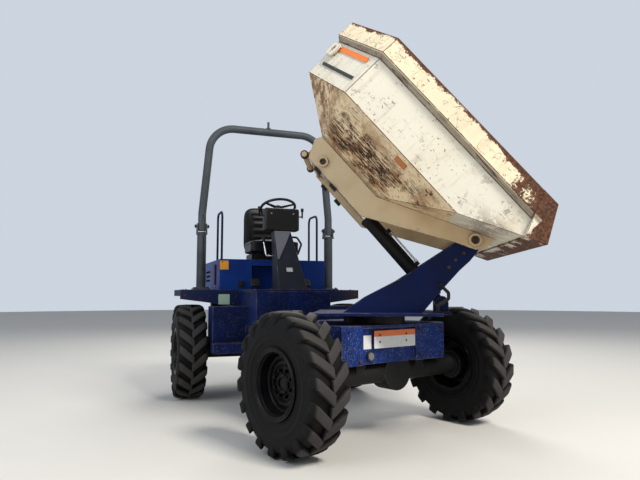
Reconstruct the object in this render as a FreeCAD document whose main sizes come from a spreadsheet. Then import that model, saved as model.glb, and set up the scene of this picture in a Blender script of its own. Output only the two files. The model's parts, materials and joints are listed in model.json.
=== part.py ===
import FreeCAD, Part
import math
import os
import Sketcher

# Articulated site dumper with a swivel skip, in millimetres.
# The rear chassis faces +X with +Y to its left and +Z up. Every piece is first drawn about the
# centre pivot of the chassis, at ground level, with its own body straight ahead and the skip
# down. Its body's Placement then turns it to the pose in which the machine is parked.

Vector = FreeCAD.Vector
Rotation = FreeCAD.Rotation
Placement = FreeCAD.Placement

doc = FreeCAD.newDocument("SiteDumper")
sheet = doc.addObject("Spreadsheet::Sheet", "Sizes")

# name, value, meaning
SIZES = [
    ("steer_left", 18.9, "front chassis turned left at the centre pivot, degrees"),
    ("slew_left", 47.2, "skip turned left on the front chassis, degrees"),
    ("tip_angle", 48.9, "skip tipped forward from level, degrees"),
    ("tyre_radius", 430, "out to the lug tips"),
    ("tyre_width", 264, "widest, over the shoulders of the tread bars"),
    ("lug_height", 33, "tread bar above the carcass"),
    ("lug_run", 155, "one tread bar along the tread, middle to shoulder"),
    ("lug_width", 78, "one tread bar along the tread"),
    ("track", 1584, "between wheel centre planes"),
    ("rim_radius", 215, "rim flange"),
    ("rim_well", 188, "rim barrel under the tyre"),
    ("rim_half_width", 120, "rim flange from the wheel's centre plane"),
    ("plate_wheel", 12, "wheel disc and rim thickness"),
    ("hub_radius", 78, "wheel hub"),
    ("hub_reach", 58, "hub face outside the wheel's centre plane"),
    ("stub_radius", 38, "axle stub in the hub"),
    ("running_gap", 0.05, "radial clearance of a shaft in its bore"),
    ("seat_gap", 0.3, "clearance between pieces that seat on each other"),
    ("front_axle_x", 980, "front axle ahead of the centre pivot"),
    ("rear_axle_x", 965, "rear axle behind the centre pivot"),
    ("axle_tube", 70, "axle tube radius"),
    ("axle_bowl", 125, "differential bowl radius"),
    ("bowl_half", 75, "half length of the differential bowl"),
    ("bowl_offset", 60, "differential bowl left of the middle"),
    ("axle_flange", 105, "hub carrier radius at the axle's end"),
    ("front_top", 755, "top of the front chassis"),
    ("front_low", 503, "underside of the front chassis"),
    ("front_nose_x", 1105, "front face of the front chassis"),
    ("nose_recess", 25, "nose plate behind the end plates"),
    ("nose_end_y", 310, "inner edge of the right end plate"),
    ("nose_block_y", 188, "inner edge of the left end block"),
    ("sign_half", 206, "half width of the nose sign"),
    ("sign_low", 604, "lower edge of the nose sign"),
    ("sign_height", 115, "nose sign height"),
    ("front_tail_x", 300, "rear edge of the front chassis box"),
    ("front_half", 489, "half width of the front chassis"),
    ("frame_plate", 20, "chassis plate"),
    ("neck_half", 130, "half width of the neck to the pivot"),
    ("lug_radius", 82, "pivot lugs"),
    ("lug_plate", 34, "pivot lug thickness"),
    ("pivot_low", 440, "underside of the lower pivot lug"),
    ("pivot_high", 690, "top of the upper pivot lug"),
    ("pivot_pin", 32, "articulation pin radius"),
    ("trunnion_radius", 62, "trunnion about which the axles oscillate"),
    ("trunnion_length", 210, "trunnion inside its bearing"),
    ("rear_nose_x", 150, "front plate of the rear chassis behind the pivot"),
    ("rear_tail_x", 1800, "rear plate of the rear chassis behind the pivot"),
    ("rear_half", 330, "half width of the rear chassis"),
    ("rear_low", 560, "underside of the rear chassis"),
    ("bumper_half", 460, "half width of the rear bumper"),
    ("bumper_depth", 70, "rear bumper thickness"),
    ("bumper_rise", 20, "rear bumper above the chassis underside"),
    ("bumper_height", 280, "rear bumper height"),
    ("hitch_reach", 110, "tow hitch behind the bumper"),
    ("hitch_rise", 80, "tow hitch above the bumper's lower edge"),
    ("hitch_plate", 40, "tow hitch plate"),
    ("hitch_bore", 16.5, "tow pin bore radius"),
    ("lamp_half", 55, "half width of a rear lamp"),
    ("lamp_y", 390, "rear lamp centre from the middle"),
    ("lamp_rise", 150, "underside of the rear lamps above the bumper underside"),
    ("lamp_height", 55, "rear lamp height"),
    ("step_nose_x", 380, "front edge of the boarding steps behind the pivot"),
    ("step_tail_x", 520, "rear edge of the boarding steps"),
    ("step_reach", 320, "boarding step out from the chassis"),
    ("step_top", 532, "boarding step height"),
    ("step_lip", 84, "boarding step edge depth"),
    ("step_hanger", 120, "top of the step hangers above the chassis underside"),
    ("locker_length", 280, "side locker behind the boarding step"),
    ("locker_in", 14, "outer side of the lockers inside the edge of the step"),
    ("locker_low", 505, "underside of the side lockers"),
    ("locker_height", 340, "side locker height"),
    ("engine_nose_x", 1320, "front of the engine behind the pivot"),
    ("engine_tail_x", 1740, "rear of the engine behind the pivot"),
    ("engine_half", 240, "half width of the engine"),
    ("engine_rise", 60, "engine above the chassis underside"),
    ("engine_top", 1180, "top of the engine"),
    ("deck_top", 997, "operator's platform"),
    ("deck_plate", 20, "platform plate"),
    ("wing_half", 890, "half width over the rear wings"),
    ("wing_nose_x", 830, "front edge of the wings behind the pivot"),
    ("wing_tail_x", 1450, "rear edge of the wings behind the pivot"),
    ("wing_tip_depth", 86, "wing fascia depth at its outer end"),
    ("wing_root_depth", 160, "wing fascia depth at the chassis"),
    ("fascia_plate", 12, "fascia thickness"),
    ("housing_half", 530, "half width of the engine housing"),
    ("housing_nose_x", 850, "front of the engine housing behind the pivot"),
    ("housing_split_x", 1290, "joint between the fixed housing and the hood"),
    ("housing_tail_x", 1835, "rear of the hood behind the pivot"),
    ("housing_top", 1290, "top of the engine housing"),
    ("housing_plate", 10, "housing and hood wall"),
    ("leg_recess", 217, "half width of the recess for the operator's legs"),
    ("leg_recess_depth", 150, "depth of that recess"),
    ("seat_half", 245, "half width of the seat"),
    ("seat_nose_x", 770, "front edge of the seat cushion behind the pivot"),
    ("seat_tail_x", 1150, "rear edge of the seat cushion behind the pivot"),
    ("seat_low", 1345, "underside of the seat cushion"),
    ("seat_top", 1485, "top of the seat cushion"),
    ("seat_back_top", 1845, "top of the backrest"),
    ("seat_base_in", 25, "seat base inside the sides of the cushion"),
    ("seat_back_depth", 90, "backrest thickness"),
    ("bracket_half", 150, "half width of the seat bracket"),
    ("bracket_depth", 60, "seat bracket behind the backrest's front"),
    ("console_nose_x", 285, "front of the console behind the pivot"),
    ("console_foot", 235, "console length at its foot"),
    ("console_half", 165, "console left of the middle at its foot"),
    ("console_right", 100, "console right of the middle at its foot"),
    ("console_top", 1545, "top of the console"),
    ("dash_half", 168, "half width of the instrument box"),
    ("dash_height", 215, "instrument box height"),
    ("dash_depth", 110, "instrument box depth"),
    ("dash_x", 600, "instrument box centre behind the pivot"),
    ("console_tube", 9, "radius of the tubes on the console"),
    ("tube_top", 55, "upper ends of those tubes below the console top"),
    ("brake_low", 241, "lower end of the brake tube below the console top"),
    ("brake_out", 180, "brake tube out from the middle"),
    ("loop_low", 220, "lower end of the tube loop below the console top"),
    ("loop_out", 190, "tube loop out from the middle"),
    ("rail_nose_x", 980, "front leg of the grab rails behind the pivot"),
    ("rail_tail_x", 1240, "rear leg of the grab rails"),
    ("rail_inset", 40, "grab rails in from the sides of the housing"),
    ("rail_top", 1765, "top of the grab rails"),
    ("rail_tube", 11, "grab rail tube radius"),
    ("wheel_hand_radius", 165, "steering wheel radius"),
    ("wheel_hand_tube", 13, "steering wheel rim section radius"),
    ("wheel_hand_x", 705, "steering wheel centre behind the pivot"),
    ("wheel_hand_z", 1765, "steering wheel centre height"),
    ("wheel_hand_lean", 22, "steering column from vertical, degrees"),
    ("rops_x", 1119, "roll-over hoop behind the pivot"),
    ("rops_gap", 137, "post centres outside the engine housing"),
    ("rops_post", 45, "post tube radius"),
    ("rops_tube", 39, "hoop tube radius"),
    ("rops_joint", 1625, "fold joint height"),
    ("rops_top", 2681, "top of the hoop"),
    ("rops_lean", 80, "each leg leans inwards by this up to the bend"),
    ("rops_bend", 250, "bend radius at the top corners"),
    ("beacon_spigot", 12, "beacon spigot radius"),
    ("beacon_foot", 6, "flat seat of the beacon above the hoop"),
    ("beacon_height", 70, "beacon spigot above the hoop"),
    ("turn_x", 886, "slew axis ahead of the centre pivot"),
    ("ring_radius", 215, "slew ring"),
    ("table_low", 816, "underside of the slew table"),
    ("table_top", 836, "top of the slew table"),
    ("table_nose", 429, "slew table ahead of the slew axis"),
    ("table_tail", 413, "slew table behind the slew axis"),
    ("table_half", 403, "half width of the slew table"),
    ("tip_x", 651, "tipping pivot ahead of the slew axis"),
    ("tip_z", 1307, "tipping pivot height"),
    ("tip_pin", 24, "tipping pivot pin radius"),
    ("tower_half", 288, "outer face of the tower plates"),
    ("tower_plate", 20, "tower plate thickness"),
    ("tower_eye", 50, "tower eye radius"),
    ("ram_x", 465, "ram's lower pin ahead of the slew axis"),
    ("ram_z", 900, "ram's lower pin height"),
    ("ram_top_x", -1053, "ram's upper pin from the tipping pivot, skip level"),
    ("ram_top_z", -393, "ram's upper pin from the tipping pivot, skip level"),
    ("ram_radius", 49, "ram barrel"),
    ("ram_barrel", 790, "ram barrel from its pin to its gland"),
    ("ram_rod", 30, "ram rod radius"),
    ("ram_pin", 20, "ram pin radius"),
    ("skip_wall", 8, "skip plate"),
    ("skip_rim_over", 36, "rim band outside the walls"),
    ("skip_top_half", 730, "half width of the walls under the rim band"),
    ("skip_ridge_in", 34, "side ridge inside the walls' top"),
    ("skip_floor_half", 312, "half width of the floor"),
    ("skip_rear_x", -1607, "rear wall under the rim band"),
    ("skip_ridge_rear_x", -1592, "rear wall at the ridge"),
    ("skip_floor_rear_x", -1190, "rear edge of the floor"),
    ("skip_floor_front_x", -640, "front edge of the floor"),
    ("skip_cant", 390, "canted rear corners"),
    ("skip_rim_top", 391, "rim above the tipping pivot"),
    ("skip_rim_low", 264, "lower edge of the band's outer face"),
    ("skip_rim_seat", 236, "where the band meets the walls"),
    ("skip_ridge", -51, "side ridge"),
    ("skip_floor", -283, "underside of the floor"),
    ("skip_front_slope", 0.534, "rise of the front plate per unit forward"),
    ("skip_lip_x", 257, "lip"),
    ("skip_lip_strip", 115, "wear strip round the mouth"),
    ("skip_lip_plate", 10, "wear strip thickness under the lip"),
    ("skip_band_nose", 133, "front end of the side bands at the top"),
    ("rail_plate", 12, "underframe side plate"),
    ("rail_low", -448, "underside of the underframe"),
    ("pad_rear_x", -1033, "rear rest pad"),
    ("pad_front_x", -878, "front rest pad"),
    ("pad_half", 28, "half length of a rest pad"),
    ("latch_x", -1200, "travel latch bar"),
    ("tie_x", -1135, "underframe tie"),
    ("eye_half", 48, "half width of a lifting eye"),
]
for row, (alias, value, meaning) in enumerate(SIZES, start=1):
    sheet.set("A%d" % row, alias)
    sheet.set("B%d" % row, str(value))
    sheet.set("C%d" % row, meaning)
    sheet.setAlias("B%d" % row, alias)
doc.recompute()


class Term:
    """A size with the sheet formula it comes from."""

    def __init__(self, value, text):
        self.value = float(value)
        self.text = text

    def __add__(self, other):
        other = term(other)
        return Term(self.value + other.value, "(%s + %s)" % (self.text, other.text))

    def __radd__(self, other):
        return term(other) + self

    def __sub__(self, other):
        other = term(other)
        return Term(self.value - other.value, "(%s - %s)" % (self.text, other.text))

    def __rsub__(self, other):
        return term(other) - self

    def __mul__(self, other):
        other = term(other)
        return Term(self.value * other.value, "(%s * %s)" % (self.text, other.text))

    def __rmul__(self, other):
        return term(other) * self

    def __truediv__(self, other):
        other = term(other)
        return Term(self.value / other.value, "(%s / %s)" % (self.text, other.text))

    def __neg__(self):
        return Term(-self.value, "(-%s)" % self.text)


def term(thing):
    return thing if isinstance(thing, Term) else Term(thing, "%.6f" % thing)


class Sizes:
    """The sheet's cells by name."""

    def __getattr__(self, name):
        return Term(sheet.get(name), "Sizes." + name)


S = Sizes()


def bind(item, prop, amount):
    amount = term(amount)
    item.setExpression(prop, amount.text)


def place(item, base):
    for letter, amount in zip("xyz", base):
        bind(item, "Placement.Base." + letter, amount)


def box(name, x, y, z):
    """Block between two values on each axis."""
    item = doc.addObject("Part::Box", name)
    for prop, pair in zip(("Length", "Width", "Height"), (x, y, z)):
        bind(item, prop, term(pair[1]) - term(pair[0]))
    place(item, (x[0], y[0], z[0]))
    return item


AXES = {
    "x": Rotation(Vector(0, 1, 0), 90),
    "y": Rotation(Vector(1, 0, 0), -90),
    "z": Rotation(),
}


def rod(name, axis, base, radius, length):
    """Cylinder from base along +x, +y or +z."""
    item = doc.addObject("Part::Cylinder", name)
    item.Placement = Placement(Vector(), AXES[axis])
    bind(item, "Radius", radius)
    bind(item, "Height", length)
    place(item, base)
    return item


PLANES = {
    "xz": (Rotation(Vector(1, 0, 0), 90), Vector(0, 1, 0), 1),
    "xy": (Rotation(), Vector(0, 0, 1), 2),
    "yz": (Rotation(Vector(1, 1, 1), 120), Vector(1, 0, 0), 0),
}


def outline(name, plane, points, level):
    """Closed sketch whose corners are bound to the sheet."""
    sketch = doc.addObject("Sketcher::SketchObject", name)
    sketch.Placement = Placement(Vector(), PLANES[plane][0])
    base = [0, 0, 0]
    base[PLANES[plane][2]] = level
    place(sketch, base)
    corners = [(term(a), term(b)) for a, b in points]
    count = len(corners)
    for index in range(count):
        a, b = corners[index]
        c, d = corners[(index + 1) % count]
        start = Vector(a.value, b.value, 0)
        sketch.addGeometry(Part.LineSegment(start, Vector(c.value, d.value, 0)), False)
    for index in range(count):
        sketch.addConstraint(Sketcher.Constraint("Coincident", index, 2, (index + 1) % count, 1))
    for index, pair in enumerate(corners):
        for kind, amount in zip(("DistanceX", "DistanceY"), pair):
            rule = Sketcher.Constraint(kind, -1, 1, index, 1, amount.value)
            bind(sketch, "Constraints[%d]" % sketch.addConstraint(rule), amount)
    return sketch


def plate(name, plane, points, low, high):
    """Outline pushed from low to high along its plane's normal."""
    sketch = outline(name + "_outline", plane, points, low)
    item = doc.addObject("Part::Extrusion", name)
    item.Base = sketch
    item.DirMode = "Custom"
    item.Dir = PLANES[plane][1]
    item.Solid = True
    bind(item, "LengthFwd", term(high) - term(low))
    return item


def loft(name, sections):
    """Ruled loft through level outlines, each a height and its corners."""
    item = doc.addObject("Part::Loft", name)
    item.Sections = [
        outline("%s_%d" % (name, index), "xy", corners, level)
        for index, (level, corners) in enumerate(sections)
    ]
    item.Solid = True
    item.Ruled = True
    return item


def turned(name, points, centre):
    """Solid of revolution about an axis along y; points are radius and y."""
    sketch = outline(name + "_outline", "xy", points, 0)
    item = doc.addObject("Part::Revolution", name)
    item.Source = sketch
    item.Axis = Vector(0, 1, 0)
    item.Base = Vector()
    item.Angle = 360
    item.Solid = True
    place(item, centre)
    return item


def fuse(name, items):
    item = doc.addObject("Part::MultiFuse", name)
    item.Shapes = items
    return item


def cut(name, base, tools):
    item = doc.addObject("Part::Cut", name)
    item.Base = base
    item.Tool = tools[0] if len(tools) == 1 else fuse(name + "_tools", tools)
    return item


def mirror(name, source):
    """Copy on the other side of the machine's middle plane."""
    item = doc.addObject("Part::Mirroring", name)
    item.Source = source
    item.Normal = Vector(0, 1, 0)
    return item


def both(name, source):
    """A piece and its mirror image, as one object."""
    item = doc.addObject("Part::Compound", name)
    item.Links = [source, mirror(name + "_mirror", source)]
    return item


def tube(name, points, radius, bend):
    """Round bar along straight runs joined by arcs of one radius."""
    route = [Vector(*point) for point in points]
    edges = []
    start = route[0]
    for before, corner, after in zip(route, route[1:], route[2:]):
        back = (before - corner).normalize()
        ahead = (after - corner).normalize()
        half = back.getAngle(ahead) / 2
        reach = bend / math.tan(half)
        first = corner + back * reach
        last = corner + ahead * reach
        middle = (back + ahead).normalize()
        crown = corner + middle * (bend / math.sin(half) - bend)
        edges.append(Part.LineSegment(start, first).toShape())
        edges.append(Part.Arc(first, crown, last).toShape())
        start = last
    edges.append(Part.LineSegment(start, route[-1]).toShape())
    spine = Part.Wire(edges)
    ring = Part.Wire([Part.makeCircle(radius, route[0], route[1] - route[0])])
    item = doc.addObject("Part::Feature", name)
    item.Shape = spine.makePipeShell([ring], True, False)
    return item


PIECES = []


def piece(label, item, body):
    """Name a finished piece and the body it moves with."""
    item.Label = label
    PIECES.append((label, item, body))
    return item


# Tyre: a faceted carcass and staggered bars that meet in a vee, drawn about its own axis along y.
TYRE_SIDES = 18
BORE_SIDES = 6
BARS = 18


def ring_corners(across, apothem, sides):
    """Corners of a regular polygon round the y axis, with a side at its foot."""
    reach = apothem / math.cos(math.pi / sides)
    turns = [math.pi * (2 * index + 1) / sides for index in range(sides)]
    return [Vector(reach * math.sin(turn), across, -reach * math.cos(turn)) for turn in turns]


def flat_face(corners):
    return Part.Face(Part.makePolygon(corners + corners[:1]))


def ring_solid(sections, sides):
    """Flat-sided solid through polygons, each a place across and an apothem."""
    rings = [ring_corners(across, apothem, sides) for across, apothem in sections]
    faces = [flat_face(rings[0]), flat_face(rings[-1])]
    for low, high in zip(rings, rings[1:]):
        for index in range(sides):
            after = (index + 1) % sides
            faces.append(flat_face([low[index], low[after], high[after], high[index]]))
    return Part.makeSolid(Part.makeShell(faces))


def tyre_solid():
    """Carcass and bars as one solid with the rim's hole through it."""
    outer = S.tyre_radius.value
    half = S.tyre_width.value / 2
    seat = S.rim_half_width.value - S.plate_wheel.value
    carcass = outer - S.lug_height.value
    bead = S.rim_radius.value + 12
    body = ring_solid([(-seat, bead), (3 - half, outer - 105), (-seat, carcass),
                       (seat, carcass), (half - 3, outer - 105), (seat, bead)], TYRE_SIDES)
    tread = ring_solid([(1 - half, outer), (half - 1, outer)], TYRE_SIDES)
    run = S.lug_run.value
    width = S.lug_width.value
    bars = []
    for side in (-1, 1):
        front = run / 2 + 12
        back = -run / 2
        corners = [Vector(front, -10 * side, 0), Vector(front - width, -10 * side, 0),
                   Vector(back - width / 2, half * side, 0), Vector(back + width / 2, half * side, 0)]
        face = flat_face(corners)
        face.translate(Vector(0, 0, outer - 85))
        bar = face.extrude(Vector(0, 0, 100))
        for index in range(BARS):
            copy = bar.copy()
            turn = 360 / BARS * (index + (0.5 if side < 0 else 0))
            copy.rotate(Vector(), Vector(0, 1, 0), turn)
            bars.append(copy)
    bore = ring_solid([(-half, S.rim_well.value + S.seat_gap.value),
                       (half, S.rim_well.value + S.seat_gap.value)], BORE_SIDES)
    lugs = [tread.common(bar) for bar in bars]
    return body.fuse(lugs).cut(bore).removeSplitter()


tyre_shape = doc.addObject("Part::Feature", "tyre_shape")
tyre_shape.Shape = tyre_solid()

# Wheels. label, axle ahead of the pivot, side of the machine
WHEELS = [
    ("front_right", S.front_axle_x, -1),
    ("front_left", S.front_axle_x, 1),
    ("rear_right", -S.rear_axle_x, -1),
    ("rear_left", -S.rear_axle_x, 1),
]
for label, axle_x, side in WHEELS:
    centre = (axle_x, S.track * (side / 2), S.tyre_radius)
    tyre = doc.addObject("Part::Compound", "tyre_%s" % label)
    tyre.Links = [tyre_shape]
    place(tyre, centre)
    piece("tyre_%s" % label, tyre, "wheel_" + label)
    inner = S.rim_well - S.plate_wheel
    face = S.hub_reach - 26
    bore = S.stub_radius + S.running_gap
    well = [
        (bore, face - 70),
        (S.hub_radius, face - 70),
        (S.hub_radius, face),
        (inner, face),
        (inner, -S.rim_half_width),
        (S.rim_radius, -S.rim_half_width),
        (S.rim_radius, S.plate_wheel - S.rim_half_width),
        (S.rim_well, S.plate_wheel - S.rim_half_width),
        (S.rim_well, S.rim_half_width - S.plate_wheel),
        (S.rim_radius, S.rim_half_width - S.plate_wheel),
        (S.rim_radius, S.rim_half_width),
        (inner, S.rim_half_width),
        (inner, face + S.plate_wheel),
        (S.hub_radius, face + S.plate_wheel),
        (S.hub_radius - 8, S.hub_reach),
        (bore, S.hub_reach),
    ]
    turned_well = [(radius, across * side) for radius, across in well]
    piece("rim_%s" % label, turned("rim_%s" % label, turned_well, centre), "wheel_" + label)

# Axles. label, body, axle ahead of the pivot, top of the pads that carry the chassis
for label, body, axle_x, pad_top, pad_half in [
    ("front_axle", "front", S.front_axle_x, S.front_low, 300),
    ("rear_axle", "rear", -S.rear_axle_x, S.rear_low, 300),
]:
    flange_y = S.track / 2 + S.hub_reach - 26 - 70 - S.seat_gap
    tip_y = S.track / 2 + S.hub_reach - 12
    height = S.tyre_radius
    stub = rod(label + "_stub", "y", (axle_x, -tip_y, height), S.stub_radius, tip_y * 2)
    casing = rod(label + "_tube", "y", (axle_x, -flange_y, height), S.axle_tube, flange_y * 2)
    bowl = rod(label + "_bowl", "x", (axle_x - S.bowl_half, S.bowl_offset, height), S.axle_bowl,
               S.bowl_half * 2)
    carrier = rod(label + "_flange", "y", (axle_x, flange_y - 60, height), S.axle_flange, 60)
    pad = box(label + "_pad", (axle_x - 70, axle_x + 70), (pad_half - 60, pad_half + 20), (height, pad_top))
    ends = both(label + "_ends", fuse(label + "_end", [carrier, pad]))
    piece(label, fuse(label, [stub, casing, bowl, ends]), body)

# Front chassis: a box over the axle, with a neck and two lugs at the centre pivot.
thick = S.frame_plate
nose = S.front_nose_x
tail = S.front_tail_x
front_parts = [
    box("front_roof", (tail, nose), (-S.front_half, S.front_half), (S.front_top - thick, S.front_top)),
    box("front_nose", (nose - S.nose_recess - thick, nose - S.nose_recess), (-S.front_half, S.front_half),
        (S.front_low, S.front_top)),
    box("front_end_plate", (nose - S.nose_recess, nose), (-S.front_half, -S.nose_end_y),
        (S.front_low, S.front_top)),
    box("front_end_block", (nose - S.nose_recess, nose), (S.nose_block_y, S.front_half),
        (S.front_low, S.front_top)),
    box("front_sill", (tail, nose - S.nose_recess), (-S.front_half, S.front_half),
        (S.front_low, S.front_low + thick)),
    box("front_back", (tail, tail + thick), (-S.front_half, S.front_half), (S.front_low, S.front_top)),
    both("front_sides", box("front_side", (tail, nose), (S.front_half - thick, S.front_half),
                            (S.front_low, S.front_top))),
]
neck_parts = []
for label, low, high in [
    ("low", S.pivot_low, S.pivot_low + S.lug_plate),
    ("high", S.pivot_high - S.lug_plate, S.pivot_high),
]:
    disc = rod("front_lug_" + label, "z", (0, 0, low), S.lug_radius, high - low)
    arm = plate("front_arm_" + label, "xy", [(0, -S.lug_radius), (tail + thick, -S.neck_half),
                                             (tail + thick, S.neck_half), (0, S.lug_radius)], low, high)
    neck_parts += [disc, arm]
neck_parts.append(both("front_cheeks", box("front_cheek", (150, tail + thick),
                                           (S.neck_half - thick - 20, S.neck_half - 20),
                                           (S.pivot_low, S.pivot_high))))
front_pin_hole = rod("front_pin_hole", "z", (0, 0, S.pivot_low - 10), S.pivot_pin + S.running_gap,
                     S.pivot_high - S.pivot_low + 20)
bowl_hole = box("front_bowl_hole", (S.front_axle_x - S.bowl_half - 4, S.front_axle_x + S.bowl_half + 4),
                (S.bowl_offset - S.axle_bowl - 10, S.bowl_offset + S.axle_bowl + 10),
                (S.front_low - 5, S.front_low + thick + 5))
front_solid = fuse("front_solid", front_parts + neck_parts)
end_hole = rod("front_end_hole", "x", (nose - 12, -428, 715), 9, 20)
piece("front_chassis", cut("front_chassis", front_solid, [front_pin_hole, bowl_hole, end_hole]), "front")

# Sign between the end plates, on two brackets.
sign_top = S.sign_low + S.sign_height
sign = box("sign_plate", (nose - 7, nose - 3), (-S.sign_half, S.nose_block_y - 3), (S.sign_low, sign_top))
piece("nose_sign", fuse("nose_sign", [sign, box("sign_bracket_right", (nose - S.nose_recess, nose - 6),
                                                (-170, -140), (S.sign_low + 35, sign_top - 35)),
                                      box("sign_bracket_left", (nose - S.nose_recess, nose - 6), (80, 110),
                                          (S.sign_low + 35, sign_top - 35))]), "front")

# Centre pivot: a block on a vertical pin between the lugs, turning on a trunnion in the rear chassis.
block_low = S.pivot_low + S.lug_plate + S.seat_gap
block_high = S.pivot_high - S.lug_plate - S.seat_gap
block_mid = (S.pivot_low + S.pivot_high) / 2
rear_nose = -S.rear_nose_x
block_parts = [
    rod("pivot_barrel", "z", (0, 0, block_low), S.lug_radius - 8, block_high - block_low),
    rod("pivot_pin", "z", (0, 0, S.pivot_low - 8), S.pivot_pin, S.pivot_high - S.pivot_low + 16),
    rod("pivot_cap", "z", (0, 0, S.pivot_high + S.seat_gap), S.pivot_pin + 20, 12),
    rod("pivot_cap_pin", "z", (0, 0, S.pivot_high), S.pivot_pin, 6),
    rod("pivot_collar", "x", (rear_nose + S.seat_gap, 0, block_mid), S.trunnion_radius + 28,
        S.rear_nose_x - S.seat_gap - 20),
    rod("pivot_trunnion", "x", (rear_nose - S.trunnion_length, 0, block_mid), S.trunnion_radius,
        S.trunnion_length + 40),
]
piece("centre_pivot", fuse("centre_pivot", block_parts), "pivot")

# Rear chassis: two long plates joined by cross plates, with the trunnion's bearing at the front.
rear_tail = -S.rear_tail_x
rear_roof = S.deck_top - S.deck_plate
inner_half = S.rear_half - thick
rear_parts = [
    both("rear_sides", plate("rear_side", "xz", [
        (rear_tail, S.rear_low), (rear_nose, S.rear_low), (rear_nose, rear_roof), (rear_tail, rear_roof),
    ], inner_half, S.rear_half)),
    box("rear_nose_plate", (rear_nose - thick, rear_nose), (-S.rear_half, S.rear_half),
        (S.rear_low - 60, rear_roof)),
    box("rear_tail_plate", (rear_tail, rear_tail + thick), (-S.rear_half, S.rear_half),
        (S.rear_low, rear_roof)),
    box("rear_cross", (-S.rear_axle_x - 70, -S.rear_axle_x + 70), (-S.rear_half, S.rear_half),
        (S.rear_low, S.rear_low + thick)),
    box("rear_bearing_web", (rear_nose - S.trunnion_length, rear_nose - S.trunnion_length + thick),
        (-S.rear_half, S.rear_half), (S.rear_low - 60, rear_roof)),
    rod("rear_bearing", "x", (rear_nose - S.trunnion_length, 0, block_mid), S.trunnion_radius + 24,
        S.trunnion_length),
]
bearing_bore = rod("rear_bearing_bore", "x", (rear_nose - S.trunnion_length - 10, 0, block_mid),
                   S.trunnion_radius + S.running_gap, S.trunnion_length + 20)
piece("rear_chassis", cut("rear_chassis", fuse("rear_solid", rear_parts), [bearing_bore]), "rear")

# Ballast bumper behind the rear chassis, with the tow hitch and the lamps on it.
bumper_low = S.rear_low + S.bumper_rise
bumper_back = rear_tail - S.bumper_depth
piece("rear_bumper", box("rear_bumper", (bumper_back, rear_tail), (-S.bumper_half, S.bumper_half),
                         (bumper_low, bumper_low + S.bumper_height)), "rear")
hitch_low = bumper_low + S.hitch_rise
hitch_parts = [
    box("hitch_base", (bumper_back - 14, bumper_back), (-90, 90), (hitch_low - 50, hitch_low + 90)),
    box("hitch_tongue", (bumper_back - S.hitch_reach, bumper_back), (-50, 50),
        (hitch_low, hitch_low + S.hitch_plate)),
]
hitch_bore = rod("hitch_bore", "z", (bumper_back - S.hitch_reach + 45, 0, hitch_low - 5), S.hitch_bore,
                 S.hitch_plate + 10)
piece("tow_hitch", cut("tow_hitch", fuse("hitch_solid", hitch_parts), [hitch_bore]), "rear")
rear_lamp = box("rear_lamp", (bumper_back - 24, bumper_back),
                (S.lamp_y - S.lamp_half, S.lamp_y + S.lamp_half),
                (bumper_low + S.lamp_rise, bumper_low + S.lamp_rise + S.lamp_height))
piece("rear_lamps", both("rear_lamps", rear_lamp), "rear")

# Boarding steps hung from the sides of the rear chassis, each with a locker behind it.
step_nose = -S.step_nose_x
step_tail = -S.step_tail_x
step_low = S.step_top - S.step_lip
step_edge = S.rear_half + S.step_reach
step_parts = [
    box("step_tread", (step_tail, step_nose), (S.rear_half, step_edge), (S.step_top - 10, S.step_top)),
    box("step_front", (step_nose - 8, step_nose), (S.rear_half, step_edge), (step_low, S.step_top)),
    box("step_rear", (step_tail, step_tail + 8), (S.rear_half, step_edge), (step_low, S.step_top)),
    box("step_side", (step_tail, step_nose), (step_edge - 8, step_edge), (step_low, S.step_top)),
    box("step_hanger", (step_tail, step_nose), (S.rear_half, S.rear_half + 12),
        (step_low, S.rear_low + S.step_hanger)),
    box("side_locker", (step_tail + 4 - S.locker_length, step_tail + 4),
        (S.rear_half, step_edge - S.locker_in), (S.locker_low, S.locker_low + S.locker_height)),
]
piece("side_steps", both("side_steps", fuse("side_step", step_parts)), "rear")

# Platform: a narrow deck ahead of the housing and a wing over each rear wheel.
wing_nose = -S.wing_nose_x
wing_tail = -S.wing_tail_x
deck_low = S.deck_top - S.deck_plate
deck_plan = [
    (rear_nose, -S.rear_half - 8), (rear_nose, S.rear_half + 8), (wing_nose, S.rear_half + 8),
    (wing_nose, S.wing_half), (wing_tail, S.wing_half), (wing_tail, -S.wing_half),
    (wing_nose, -S.wing_half), (wing_nose, -S.rear_half - 8),
]
fascia = plate("deck_fascia", "yz", [
    (S.rear_half, deck_low), (S.wing_half, deck_low), (S.wing_half, S.deck_top - S.wing_tip_depth),
    (S.rear_half, S.deck_top - S.wing_root_depth),
], wing_nose - S.fascia_plate, wing_nose)
skirt = box("deck_skirt", (wing_tail, wing_nose), (S.wing_half - S.fascia_plate, S.wing_half),
            (S.deck_top - 60, deck_low))
deck_body = fuse("deck_body", [
    plate("deck_plan", "xy", deck_plan, deck_low, S.deck_top),
    both("deck_fascias", fascia), both("deck_skirts", skirt),
])
engine_well = box("engine_well", (-S.housing_tail_x, -S.housing_nose_x - 40),
                  (20 - inner_half, inner_half - 20), (deck_low - 5, S.deck_top + 5))
piece("platform", cut("platform", deck_body, [engine_well]), "rear")

# Engine, one plain block on the chassis, with its two mounts.
engine_nose = -S.engine_nose_x
engine_tail = -S.engine_tail_x
engine_low = S.rear_low + S.engine_rise
engine_block = box("engine_block", (engine_tail, engine_nose), (-S.engine_half, S.engine_half),
                   (engine_low, S.engine_top))
engine_feet = both("engine_feet", box("engine_foot", (engine_tail + 140, engine_nose - 130),
                                      (S.engine_half, inner_half), (engine_low + 60, engine_low + 120)))
piece("engine", fuse("engine", [engine_block, engine_feet]), "rear")

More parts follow.
